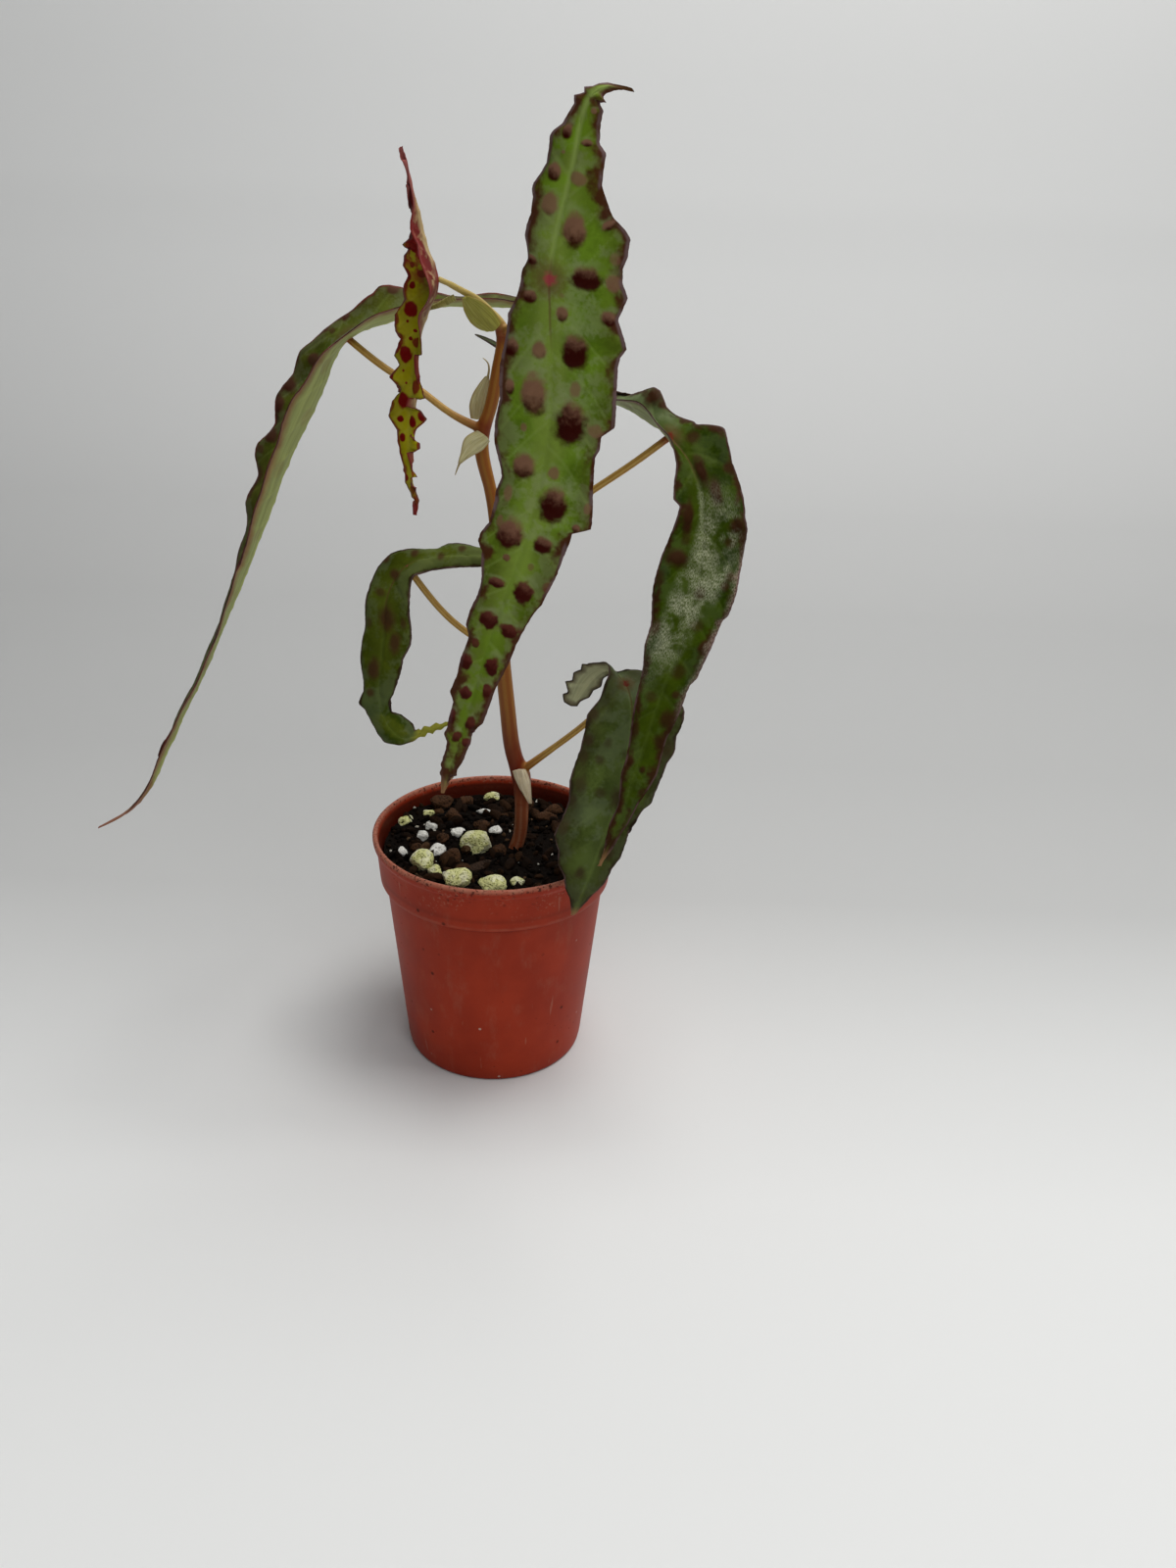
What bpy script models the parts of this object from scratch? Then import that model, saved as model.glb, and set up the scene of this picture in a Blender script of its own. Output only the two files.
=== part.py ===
"""Potted begonia: a tall cane with six long shield leaves in a small round nursery pot.

The origin is the centre of the pot's underside, +Z is up and -Y faces the viewer. Sizes are written in
millimetres and turned into metres as each mesh is made.
"""
import math
import random
from dataclasses import dataclass

import bmesh
import bpy
import numpy as np

MM = 0.001

# Clearances
GAP = 0.3                    # between pieces that touch
WALL_GAP = 0.6               # between the mix and the pot's round wall, whose facets differ
SINK = 0.25                  # share of a stone's height that lies in the mix

# Pot
POT_HEIGHT = 60.0
LIP_RADIUS = 30.0
LIP_WALL = 1.2
BAND_DEPTH = 12.0            # height of the wider band under the lip
BODY_TOP_RADIUS = 27.0
FOOT_RADIUS = 22.4
FOOT_CHAMFER = 0.8
FLOOR = 1.4
POT_SEGMENTS = 56
DRAIN_RADIUS = 2.6
DRAIN_CIRCLE = 15.0
DRAIN_COUNT = 5

# Potting mix
MIX_LEVEL = 55.0
MIX_RINGS = 11
MIX_SEGMENTS = 40
MIX_EDGE = 56.6              # highest point of the mix at the wall
MIX_RELIEF = 0.9
MIX_BUMPS = 60
HOLE_MOUTH = 4               # points of the cane's route that its hole in the mix follows
HOLE_STEPS = 10

# Blades and stipules
BLADE_THICKNESS = 0.7
SHEET_COLUMNS = (-1.0, -0.5, 0.0, 0.5, 1.0)
SHEET_CURL = 1.4             # above 1 a sheet is round, not creased, along its midrib
STIPULE_ROWS = 9

# Cane and leaf stalks
CANE_SIDES = 12
STALK_SIDES = 8
STALK_RADIUS = 0.8
STALK_ROOT = 1.3             # a stalk's root is this much thicker than the stalk
YOUNG_STALK_RADIUS = 0.6
SQUARE_END = 2.5             # last stretch of a stalk, square to its blade
CANE_STEPS = 46
STEPS_PER_BEND = 3           # rings of a stalk for each point of its route

# The cane from its foot to the shoot tip: centre and radius. Nodes are the thicker places.
CANE = (
    ((5.4, 0.0, 28.5), 2.0),
    ((5.4, 0.0, 40.0), 2.0),
    ((5.4, 0.0, 53.0), 2.0),
    ((6.0, 0.0, 66.0), 2.0),
    ((6.1, 0.0, 75.0), 2.4),
    ((4.8, 0.0, 79.0), 2.0),
    ((3.0, 0.0, 90.0), 1.9),
    ((1.4, 0.0, 106.5), 1.8),
    ((0.4, 0.0, 129.5), 1.6),
    ((-1.5, 0.0, 145.0), 1.4),
    ((-3.0, 0.0, 156.5), 1.7),
    ((-1.8, 0.0, 160.0), 1.4),
    ((0.6, 0.0, 171.0), 1.4),
    ((1.2, 0.0, 177.0), 1.5),
    ((-1.2, -2.0, 181.0), 1.0),
    ((-4.0, -5.0, 184.0), 0.8),
    ((-6.2, -8.0, 185.6), 0.7),
    ((-8.4, -10.0, 187.0), 0.65),
)



@dataclass(frozen=True)
class Blade:
    """A leaf blade, laid out from the tip of its short lobe to the tip of its long one."""

    stations: tuple          # points of the midrib, each with the reach of its left and right margin
    shield: int              # the station that the leaf stalk holds
    rows: int                # cross-sections of the mesh
    teeth: int               # teeth along each margin
    tooth: float             # height of a tooth
    wave: float              # height of the margin's waves
    wave_length: float
    seed: int
    colour: tuple


BLADES = {
    "leaf_front": Blade(
        stations=(
            ((25.5, -47.0, 221.0), (-0.1, 0.0, 0.4), (0.1, 0.0, -0.4)),
            ((20.0, -47.0, 221.0), (-0.5, 1.0, 1.0), (1.0, -0.5, -1.0)),
            ((17.5, -47.0, 217.5), (-2.5, 1.5, 0.5), (3.0, -0.5, 0.0)),
            ((16.5, -47.0, 212.0), (-5.0, 2.0, 0.0), (4.5, -1.0, 0.5)),
            ((14.5, -46.0, 203.5), (-5.5, 2.0, -0.5), (7.5, -1.5, 0.5)),
            ((12.5, -43.0, 192.0), (-5.0, 1.5, 0.0), (13.0, -2.0, 0.5)),
            ((13.0, -40.5, 179.0), (-9.0, 1.5, -0.5), (13.0, -2.5, 1.0)),
            ((12.5, -38.5, 163.5), (-10.0, 1.5, -1.0), (10.0, -1.5, 0.5)),
            ((9.5, -37.0, 147.5), (-8.5, 1.0, 0.0), (10.5, -1.0, -0.5)),
            ((3.0, -35.0, 127.0), (-5.5, 1.0, 1.5), (8.0, -1.0, 1.5)),
            ((-3.0, -33.5, 106.5), (-4.0, 0.5, 1.0), (3.5, -1.0, -1.0)),
            ((-9.0, -32.0, 85.5), (-0.4, 0.0, 0.0), (0.4, 0.0, 0.0)),
        ),
        shield=5, rows=60, teeth=30, tooth=0.6, wave=0.7, wave_length=13.0,
        seed=3, colour=(0.060, 0.130, 0.030),
    ),
    "leaf_left_long": Blade(
        stations=(
            ((10.0, 12.0, 181.5), (0.0, -0.4, 0.0), (0.0, 0.4, 0.0)),
            ((-2.5, 11.0, 181.0), (0.5, -4.5, 2.0), (0.0, 3.5, 2.0)),
            ((-14.5, 9.5, 180.5), (0.5, -5.5, 2.0), (-1.0, 4.5, 2.5)),
            ((-24.0, 7.0, 177.5), (1.0, -7.0, 3.0), (-2.0, 5.0, 6.0)),
            ((-32.0, 5.0, 174.0), (0.0, -8.0, 1.5), (-5.5, 6.0, 1.5)),
            ((-38.0, 3.0, 163.0), (-1.5, -8.5, 3.5), (-10.0, 6.0, -0.5)),
            ((-44.0, 1.0, 151.5), (-2.0, -8.0, 2.5), (-9.0, 6.0, -0.5)),
            ((-50.0, -2.0, 137.5), (-1.5, -7.0, 2.0), (-6.0, 6.0, 0.0)),
            ((-57.5, -5.5, 120.0), (0.0, -6.0, 2.5), (-3.5, 5.5, -1.0)),
            ((-66.5, -9.5, 100.5), (1.0, -4.5, 2.5), (-2.5, 4.5, -1.0)),
            ((-75.0, -13.5, 83.5), (0.0, -3.0, 2.0), (-2.0, 3.0, -0.5)),
            ((-82.0, -16.5, 72.0), (0.0, -1.5, 0.5), (-0.5, 1.5, 0.0)),
            ((-91.0, -18.0, 66.5), (0.0, -0.4, 0.0), (0.0, 0.4, 0.0)),
        ),
        shield=4, rows=62, teeth=34, tooth=0.5, wave=0.9, wave_length=12.0,
        seed=5, colour=(0.050, 0.100, 0.030),
    ),
    "leaf_right_arch": Blade(
        stations=(
            ((-5.5, 12.0, 175.0), (0.0, -0.4, 0.0), (0.0, 0.4, 0.0)),
            ((7.5, 10.0, 168.5), (0.0, -3.0, 1.0), (0.0, 2.5, 1.5)),
            ((19.5, 4.5, 164.5), (0.0, -5.5, 2.0), (0.0, 3.5, 2.0)),
            ((29.5, -3.0, 162.5), (0.5, -5.5, 2.5), (2.0, 3.0, 3.5)),
            ((36.5, -10.0, 159.0), (-0.5, -4.0, 1.5), (3.0, 4.0, 4.0)),
            ((41.5, -14.5, 153.5), (-3.0, -2.5, 0.0), (7.0, 2.0, 4.5)),
            ((44.0, -19.0, 142.5), (-6.0, -1.5, -0.5), (9.0, -0.5, 0.0)),
            ((43.0, -23.5, 131.0), (-8.5, -0.5, 0.0), (8.5, -1.5, -0.5)),
            ((39.5, -28.5, 118.0), (-6.5, 0.0, 0.0), (6.5, -1.5, 0.5)),
            ((35.0, -33.0, 103.5), (-4.0, 0.0, 0.5), (5.0, -1.0, 0.0)),
            ((31.0, -37.0, 89.5), (-2.0, 0.0, 0.0), (2.5, -0.5, -1.0)),
            ((25.5, -40.0, 73.5), (-0.4, 0.0, 0.0), (0.4, 0.0, 0.0)),
        ),
        shield=4, rows=60, teeth=24, tooth=0.5, wave=0.7, wave_length=14.0,
        seed=7, colour=(0.045, 0.110, 0.020),
    ),
    "leaf_left_curl": Blade(
        stations=(
            ((12.0, -11.0, 129.0), (0.0, 0.4, 0.2), (0.0, -0.4, -0.2)),
            ((2.5, -11.0, 132.0), (0.0, 3.0, 1.5), (0.5, -1.0, -2.0)),
            ((-9.0, -10.0, 132.0), (-0.5, 3.5, 1.5), (0.0, -2.0, -2.5)),
            ((-18.5, -10.5, 129.5), (-2.5, 3.5, 2.0), (2.0, -2.5, -1.5)),
            ((-22.5, -12.0, 123.5), (-4.0, 2.0, 1.5), (5.0, -2.0, 0.5)),
            ((-23.5, -14.0, 114.5), (-5.0, 2.0, -1.0), (5.5, -1.0, 0.0)),
            ((-24.5, -16.5, 103.5), (-4.5, 1.5, -1.0), (3.5, 0.0, 0.0)),
            ((-23.0, -18.0, 96.0), (-4.0, 0.5, -0.5), (2.0, 2.5, 1.5)),
            ((-19.5, -18.0, 92.0), (-2.0, -0.5, -2.0), (1.5, 3.5, 2.0)),
            ((-16.0, -17.0, 92.5), (0.0, 0.0, -0.8), (0.0, 0.4, 0.6)),
            ((-9.5, -15.0, 94.0), (0.0, 0.0, -0.4), (0.0, 0.0, 0.4)),
        ),
        shield=3, rows=42, teeth=20, tooth=0.3, wave=0.5, wave_length=11.0,
        seed=9, colour=(0.060, 0.080, 0.025),
    ),
    "leaf_low_right": Blade(
        stations=(
            ((18.0, -1.0, 94.0), (-2.0, 0.0, 1.0), (1.5, -1.5, 0.5)),
            ((21.0, -2.0, 100.0), (-3.0, 1.0, 1.5), (3.0, -2.0, 0.0)),
            ((25.0, -5.5, 105.0), (-3.0, 1.5, 1.5), (1.5, -3.5, 0.0)),
            ((30.0, -13.0, 105.0), (-4.0, 0.5, 2.0), (6.5, 3.0, 0.5)),
            ((31.5, -16.5, 101.0), (-8.5, -0.5, -0.5), (11.0, 2.5, -0.5)),
            ((31.0, -20.5, 92.5), (-11.0, -0.5, -1.0), (11.0, 2.0, 0.0)),
            ((29.0, -25.5, 82.5), (-11.0, 0.0, -1.0), (8.0, 1.5, 0.0)),
            ((25.5, -30.5, 72.0), (-9.5, 0.5, 0.0), (5.5, 0.5, 0.5)),
            ((22.5, -33.0, 63.5), (-4.0, 0.5, -0.5), (3.5, 0.0, 0.5)),
            ((20.0, -34.0, 57.0), (-0.4, 0.0, 0.0), (0.4, 0.0, 0.0)),
        ),
        shield=3, rows=40, teeth=16, tooth=0.6, wave=0.6, wave_length=12.0,
        seed=11, colour=(0.060, 0.095, 0.035),
    ),
    "leaf_young": Blade(
        stations=(
            ((-16.5, -15.0, 211.0), (-0.4, 0.0, 0.0), (0.3, -0.2, 0.0)),
            ((-15.5, -14.5, 206.0), (-1.0, 0.5, 0.0), (0.0, -1.0, 0.5)),
            ((-13.0, -13.0, 199.5), (-3.0, 2.0, 0.0), (-1.0, -3.0, 0.0)),
            ((-12.0, -12.0, 193.0), (-5.0, 2.0, 0.0), (-1.0, -4.5, 0.5)),
            ((-11.0, -11.0, 188.0), (-7.0, 2.0, -0.5), (-1.0, -5.0, 0.0)),
            ((-13.5, -10.5, 181.0), (-6.0, 2.0, -0.5), (-0.5, -4.5, 0.5)),
            ((-15.5, -10.5, 174.0), (-4.5, 1.5, -0.5), (1.0, -3.0, 0.0)),
            ((-16.5, -11.0, 166.0), (-3.5, 1.5, 0.0), (2.0, -1.5, 0.0)),
            ((-17.0, -11.5, 159.0), (-3.0, 1.0, 0.0), (2.0, -0.5, 0.0)),
            ((-17.0, -12.5, 151.5), (-1.5, 0.5, -0.5), (1.0, 0.0, 0.0)),
            ((-16.0, -13.5, 141.5), (-0.4, 0.0, 0.0), (0.4, 0.0, 0.0)),
        ),
        shield=4, rows=44, teeth=15, tooth=1.0, wave=0.5, wave_length=9.0,
        seed=13, colour=(0.230, 0.200, 0.010),
    ),
}

# Each stalk leaves the cane at a node, follows its own bend and ends under the shield of its blade.
STALKS = {
    "leaf_front": ((1.2, 0.0, 177.0), (5.0, -5.5, 179.5), (8.0, -14.0, 183.5), (10.5, -26.0, 189.0)),
    "leaf_left_long": ((-3.0, 0.0, 157.0), (-9.9, 0.0, 160.2), (-16.4, 1.0, 164.5), (-22.3, 2.0, 167.7)),
    "leaf_right_arch": ((0.4, 0.0, 129.5), (10.8, -2.0, 137.6), (21.1, -4.0, 145.8), (28.8, -7.0, 152.1)),
    "leaf_left_curl": ((1.4, 0.0, 106.5), (-6.7, -3.0, 112.3), (-11.4, -6.0, 117.8)),
    "leaf_low_right": ((6.1, 0.0, 76.0), (14.2, -3.0, 84.2), (21.4, -7.0, 92.4)),
    "leaf_young": ((-6.2, -8.0, 185.6), (-8.4, -10.0, 187.0)),
}
# Papery stipules, laid out like the blades, and held just clear of the cane.
STIPULES = {
    "stipule_base": (
        ((5.8, -3.2, 78.0), (-1.6, 0.6, -0.8), (1.6, 0.6, -0.2)),
        ((6.6, -3.3, 75.0), (-1.7, 0.7, 0.0), (1.8, 0.7, 0.2)),
        ((7.4, -3.2, 72.0), (-1.2, 0.5, 0.3), (1.4, 0.5, 0.4)),
        ((8.6, -2.9, 68.8), (-0.4, 0.1, 0.0), (0.4, 0.1, 0.0)),
    ),
    "stipule_node_lower": (
        ((-1.9, -2.5, 155.8), (-2.0, 0.3, 1.2), (0.6, 0.2, -1.0)),
        ((-4.9, -3.1, 153.6), (-2.2, 0.6, 1.2), (1.9, 0.2, -1.2)),
        ((-6.7, -3.6, 151.4), (-1.0, 0.5, 0.6), (1.4, 0.2, -0.5)),
        ((-8.2, -4.0, 148.7), (-0.4, 0.0, 0.0), (0.4, 0.0, 0.0)),
    ),
    "stipule_node_upper": (
        ((-5.0, 2.2, 159.4), (-0.9, -0.8, 0.3), (0.9, 0.7, 0.0)),
        ((-4.6, 2.3, 162.4), (-1.4, -1.1, 0.0), (1.4, 0.5, 0.0)),
        ((-3.7, 2.4, 165.5), (-1.0, -0.8, 0.0), (1.0, 0.4, 0.0)),
        ((-2.3, 2.5, 168.6), (-0.4, -0.1, 0.0), (0.4, 0.1, 0.0)),
    ),
    "stipule_tip": (
        ((-0.4, -2.6, 177.6), (-2.4, 1.2, -0.2), (1.5, 0.6, 1.6)),
        ((-2.2, -4.4, 179.8), (-2.6, 1.0, -1.0), (1.8, 0.6, 1.8)),
        ((-4.2, -7.0, 182.6), (-2.0, 0.8, -0.6), (1.4, 0.3, 1.2)),
        ((-5.7, -9.2, 184.6), (-0.5, 0.2, -0.4), (0.5, 0.0, 0.3)),
    ),
}

# The unopened bud beside the shoot tip: centre and radius.
BUD = (
    ((-7.6, -9.0, 184.5), 0.65),
    ((-9.0, -9.0, 183.8), 0.75),
    ((-11.0, -8.2, 182.8), 0.60),
    ((-13.2, -7.0, 181.9), 0.35),
)

# Stones that lie on the mix: place, half sizes, turn in degrees and seed.
STONES = {
    "pumice_1": ((-4.6, -2.8), (3.3, 2.9, 2.6), 20, 1),
    "pumice_2": ((-16.6, -11.6), (2.9, 2.5, 2.3), 75, 2),
    "pumice_3": ((-7.4, -19.4), (3.3, 2.4, 2.3), 10, 3),
    "pumice_4": ((1.0, -20.0), (2.9, 2.3, 2.2), 160, 4),
    "perlite_1": ((-9.6, 4.2), (1.6, 1.5, 1.3), 0, 5),
    "perlite_2": ((-14.0, -5.6), (2.1, 1.8, 1.6), 40, 6),
    "perlite_3": ((-22.3, -6.3), (1.3, 1.3, 1.2), 0, 7),
    "perlite_4": ((-16.6, 5.7), (1.4, 1.3, 1.2), 30, 8),
    "perlite_5": ((-18.3, 0.6), (1.4, 1.3, 1.2), 60, 9),
    "clay_1": ((1.2, -3.2), (1.6, 1.5, 1.4), 0, 10),
    "clay_2": ((-9.4, -8.2), (2.2, 1.9, 1.8), 110, 11),
    "clay_3": ((-15.6, 19.0), (2.8, 2.2, 2.0), 35, 12),
    "clay_4": ((-11.8, 11.3), (2.3, 1.9, 1.7), 80, 13),
    "clay_5": ((11.6, 13.6), (2.8, 2.0, 1.8), 5, 14),
    "bark_chip": ((-3.6, -11.6), (4.2, 1.2, 0.9), 42, 15),
}
STONE_ROUGHNESS = 0.16       # how far a stone's surface strays, as a share of its half sizes
BUD_STEPS = 8
PLAIN_ROUGHNESS = 0.6
LEAF_ROUGHNESS = 0.4

COLOURS = {
    "pot": (0.340, 0.055, 0.022),
    "potting_mix": (0.012, 0.009, 0.007),
    "stem": (0.330, 0.110, 0.030),
    "stipule": (0.420, 0.400, 0.170),
    "bud": (0.330, 0.320, 0.060),
    "pumice": (0.480, 0.500, 0.230),
    "perlite": (0.750, 0.740, 0.680),
    "clay": (0.090, 0.045, 0.025),
    "bark": (0.020, 0.013, 0.010),
}


def clear_scene():
    for old in list(bpy.data.objects):
        bpy.data.objects.remove(old, do_unlink=True)


def make_material(name, colour, roughness):
    material = bpy.data.materials.new(name)
    material.use_nodes = True
    shader = material.node_tree.nodes["Principled BSDF"]
    shader.inputs["Base Color"].default_value = (*colour, 1.0)
    shader.inputs["Roughness"].default_value = roughness
    shader.inputs["Metallic"].default_value = 0.0
    return material


def make_object(name, points, faces, smooth=True):
    """Turn points in millimetres and their faces into a linked object in metres."""
    mesh = bpy.data.meshes.new(name)
    mesh.from_pydata([tuple(MM * c for c in point) for point in points], [], faces)
    mesh.validate()
    made = bpy.data.objects.new(name, mesh)
    bpy.context.scene.collection.objects.link(made)
    if smooth:
        mesh.shade_smooth()
    return made


def face_outward(thing):
    """Give every face of a closed mesh the same, outward sense."""
    shell = bmesh.new()
    shell.from_mesh(thing.data)
    bmesh.ops.recalc_face_normals(shell, faces=shell.faces)
    shell.to_mesh(thing.data)
    shell.free()


def bake_modifiers(thing):
    """Replace an object's mesh by what its modifiers make of it."""
    bpy.context.view_layer.update()
    graph = bpy.context.evaluated_depsgraph_get()
    baked = bpy.data.meshes.new_from_object(thing.evaluated_get(graph))
    thing.modifiers.clear()
    thing.data = baked


def hide_tool(thing):
    """A cutter is seen by the Boolean only."""
    thing.hide_render = True
    thing.display_type = "WIRE"


def combine(target, tools, operation):
    """Join closed tools to the target or take them out of it, then remove the tools."""
    for tool in tools:
        hide_tool(tool)
        step = target.modifiers.new(operation.lower(), "BOOLEAN")
        step.operation = operation
        step.solver = "EXACT"
        step.object = tool
    bake_modifiers(target)
    for tool in tools:
        bpy.data.objects.remove(tool, do_unlink=True)


def natural_curve(keys, values, at):
    """Read the natural cubic curve through (keys, values) at each parameter of `at`."""
    count = len(keys)
    step = np.diff(keys)
    matrix = np.eye(count)
    slope = np.zeros_like(values)
    for i in range(1, count - 1):
        matrix[i, i - 1:i + 2] = step[i - 1], 2.0 * (step[i - 1] + step[i]), step[i]
        slope[i] = 6.0 * ((values[i + 1] - values[i]) / step[i] - (values[i] - values[i - 1]) / step[i - 1])
    bend = np.linalg.solve(matrix, slope)
    left = np.clip(np.searchsorted(keys, at) - 1, 0, count - 2)
    width = step[left][:, None]
    before = (at - keys[left])[:, None]
    after = width - before
    cubic = (bend[left] * after ** 3 + bend[left + 1] * before ** 3) / (6.0 * width)
    line = (values[left] / width - bend[left] * width / 6.0) * after
    line += (values[left + 1] / width - bend[left + 1] * width / 6.0) * before
    return cubic + line


def even_parameters(keys, points, count):
    """Parameters that step evenly along the curve through the points, and its length."""
    dense = np.linspace(keys[0], keys[-1], 12 * len(keys) + 1)
    walk = natural_curve(keys, points, dense)
    lengths = np.linalg.norm(np.diff(walk, axis=0), axis=1)
    travelled = np.concatenate([[0.0], np.cumsum(lengths)])
    return np.interp(np.linspace(0.0, travelled[-1], count), travelled, dense), travelled[-1]


def chord_keys(points):
    return np.concatenate([[0.0], np.cumsum(np.linalg.norm(np.diff(points, axis=0), axis=1))])


def unit(vectors):
    return vectors / np.linalg.norm(vectors, axis=-1, keepdims=True)


def loft_guides(stations, count):
    """Midrib, left margin and right margin of a blade at `count` even steps, and its length."""
    table = np.array(stations, dtype=float)
    keys = chord_keys(table[:, 0])
    at, length = even_parameters(keys, table[:, 0], count)
    guides = [natural_curve(keys, table[:, i], at) for i in range(3)]
    return guides, length


def smooth_sheet(stations, rows):
    """Grid of points of a thin sheet through its guide lines, with the lines and the length."""
    (midrib, left, right), length = loft_guides(stations, rows)
    grid = np.zeros((rows, len(SHEET_COLUMNS), 3))
    for column, v in enumerate(SHEET_COLUMNS):
        reach = v * (right - left) / 2.0 + abs(v) ** SHEET_CURL * (left + right) / 2.0
        grid[:, column] = midrib + reach
    return grid, midrib, length


def blade_sheet(blade):
    """Grid of points of a blade, with waves along its margins and teeth that point to its tip."""
    grid, midrib, length = smooth_sheet(blade.stations, blade.rows)
    normal = unit(np.cross(np.gradient(midrib, axis=0), grid[:, -1] - grid[:, 0]))
    share = np.linspace(0.0, 1.0, blade.rows)
    swell = np.sin(math.pi * share) ** 0.5
    draw = random.Random(blade.seed)
    phases = (draw.uniform(0.0, math.tau), draw.uniform(0.0, math.tau))
    for column, v in enumerate(SHEET_COLUMNS):
        turn = math.tau * share * length / blade.wave_length + phases[0 if v < 0 else 1]
        ripple = blade.wave * v * v * swell * np.sin(turn)
        grid[:, column] += ripple[:, None] * normal
    for column, shift in ((0, 0.0), (-1, 0.5)):
        outward = unit(grid[:, column] - midrib)
        saw = (share * blade.teeth + shift) % 1.0
        grid[:, column] += (blade.tooth * swell * (saw - 0.4))[:, None] * outward
    return grid


def grid_faces(rows, columns):
    """Triangles over a grid of points, split the same way everywhere."""
    faces = []
    for i in range(rows - 1):
        for j in range(columns - 1):
            a = i * columns + j
            b = a + columns
            faces.append((a, b, b + 1))
            faces.append((a, b + 1, a + 1))
    return faces


def make_sheet(name, grid, thickness):
    """A thin closed solid round a grid of points."""
    rows, columns = grid.shape[:2]
    made = make_object(name, grid.reshape(-1, 3), grid_faces(rows, columns))
    solid = made.modifiers.new("thickness", "SOLIDIFY")
    solid.thickness = thickness * MM
    solid.offset = 0.0
    bake_modifiers(made)
    face_outward(made)
    return made


def make_tube(name, route, sides, steps, grow=0.0):
    """A round bar through centres with their radii, as a filled curve turned into a mesh."""
    centres = np.array([centre for centre, _ in route], dtype=float)
    radii = np.array([[radius] for _, radius in route], dtype=float)
    keys = chord_keys(centres)
    at, _ = even_parameters(keys, centres, steps)
    points = natural_curve(keys, centres, at)
    widths = np.interp(at, keys, radii[:, 0]) + grow
    curve = bpy.data.curves.new(name, "CURVE")
    curve.dimensions = "3D"
    curve.bevel_depth = MM
    curve.bevel_resolution = sides // 4
    curve.use_fill_caps = True
    spline = curve.splines.new("POLY")
    spline.points.add(steps - 1)
    for point, place, width in zip(spline.points, points, widths):
        point.co = (*(MM * place), 1.0)
        point.radius = width
    bar = bpy.data.objects.new(name, curve)
    bpy.context.scene.collection.objects.link(bar)
    bpy.context.view_layer.update()
    graph = bpy.context.evaluated_depsgraph_get()
    mesh = bpy.data.meshes.new_from_object(bar.evaluated_get(graph))
    bpy.data.objects.remove(bar, do_unlink=True)
    weld = bmesh.new()
    weld.from_mesh(mesh)
    bmesh.ops.remove_doubles(weld, verts=weld.verts, dist=1e-7)
    bmesh.ops.recalc_face_normals(weld, faces=weld.faces)
    weld.to_mesh(mesh)
    weld.free()
    made = bpy.data.objects.new(name, mesh)
    bpy.context.scene.collection.objects.link(made)
    return made


def make_pot():
    """The turned pot: its profile runs down the outside and back up the inside."""
    band_foot = POT_HEIGHT - BAND_DEPTH
    inner_foot = FOOT_RADIUS - LIP_WALL
    profile = (
        (LIP_RADIUS - 0.8, POT_HEIGHT),
        (LIP_RADIUS, POT_HEIGHT - 0.4),
        (LIP_RADIUS - 0.1, POT_HEIGHT - 1.6),
        (LIP_RADIUS - 0.8, POT_HEIGHT - 2.8),
        (LIP_RADIUS - 1.3, band_foot + 2.0),
        (LIP_RADIUS - 1.6, band_foot + 0.3),
        (BODY_TOP_RADIUS, band_foot - 0.6),
        (FOOT_RADIUS + 0.2, 2.0),
        (FOOT_RADIUS, FOOT_CHAMFER),
        (FOOT_RADIUS - FOOT_CHAMFER, 0.0),
        (0.0, 0.0),
        (0.0, FLOOR),
        (inner_foot - 1.0, FLOOR),
        (BODY_TOP_RADIUS - LIP_WALL, band_foot - 0.8),
        (LIP_RADIUS - 1.6 - LIP_WALL, band_foot + 0.8),
        (LIP_RADIUS - 0.9 - LIP_WALL, POT_HEIGHT - 2.8),
        (LIP_RADIUS - LIP_WALL, POT_HEIGHT - 0.4),
    )
    points = [(radius, 0.0, height) for radius, height in profile]
    edges = [(i, (i + 1) % len(points)) for i in range(len(points)) if i != 10]
    mesh = bpy.data.meshes.new("pot")
    mesh.from_pydata([tuple(MM * c for c in point) for point in points], edges, [])
    made = bpy.data.objects.new("pot", mesh)
    bpy.context.scene.collection.objects.link(made)
    turn = made.modifiers.new("turn", "SCREW")
    turn.steps = POT_SEGMENTS
    turn.render_steps = POT_SEGMENTS
    turn.use_merge_vertices = True
    turn.merge_threshold = 0.00001
    bake_modifiers(made)
    face_outward(made)
    drains = []
    for i in range(DRAIN_COUNT):
        angle = math.tau * (i + 0.5) / DRAIN_COUNT
        place = (MM * DRAIN_CIRCLE * math.cos(angle), MM * DRAIN_CIRCLE * math.sin(angle), MM * FLOOR / 2.0)
        bpy.ops.mesh.primitive_cylinder_add(
            vertices=16, radius=MM * DRAIN_RADIUS, depth=MM * 3.0 * FLOOR, location=place)
        drains.append(bpy.context.object)
    combine(made, drains, "DIFFERENCE")
    made.data.shade_smooth()
    made.data.set_sharp_from_angle(angle=math.radians(35.0))
    return made


def wall_inside(height):
    """Radius of the pot's inner wall at a height."""
    band_foot = POT_HEIGHT - BAND_DEPTH
    heights = (FLOOR, band_foot - 0.8, band_foot + 0.8, POT_HEIGHT - 2.8, POT_HEIGHT)
    radii = (
        FOOT_RADIUS - LIP_WALL - 1.0,
        BODY_TOP_RADIUS - LIP_WALL,
        LIP_RADIUS - 1.6 - LIP_WALL,
        LIP_RADIUS - 0.9 - LIP_WALL,
        LIP_RADIUS - LIP_WALL,
    )
    return float(np.interp(height, heights, radii))


def mix_height(x, y, bumps):
    """Height of the mix: a shallow heap to the back left, with crumbs on it."""
    height = MIX_LEVEL - 0.02 * x + 0.015 * y
    for bump_x, bump_y, width, rise in bumps:
        away = (x - bump_x) ** 2 + (y - bump_y) ** 2
        height += rise * math.exp(-away / (width * width))
    return height


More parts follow.
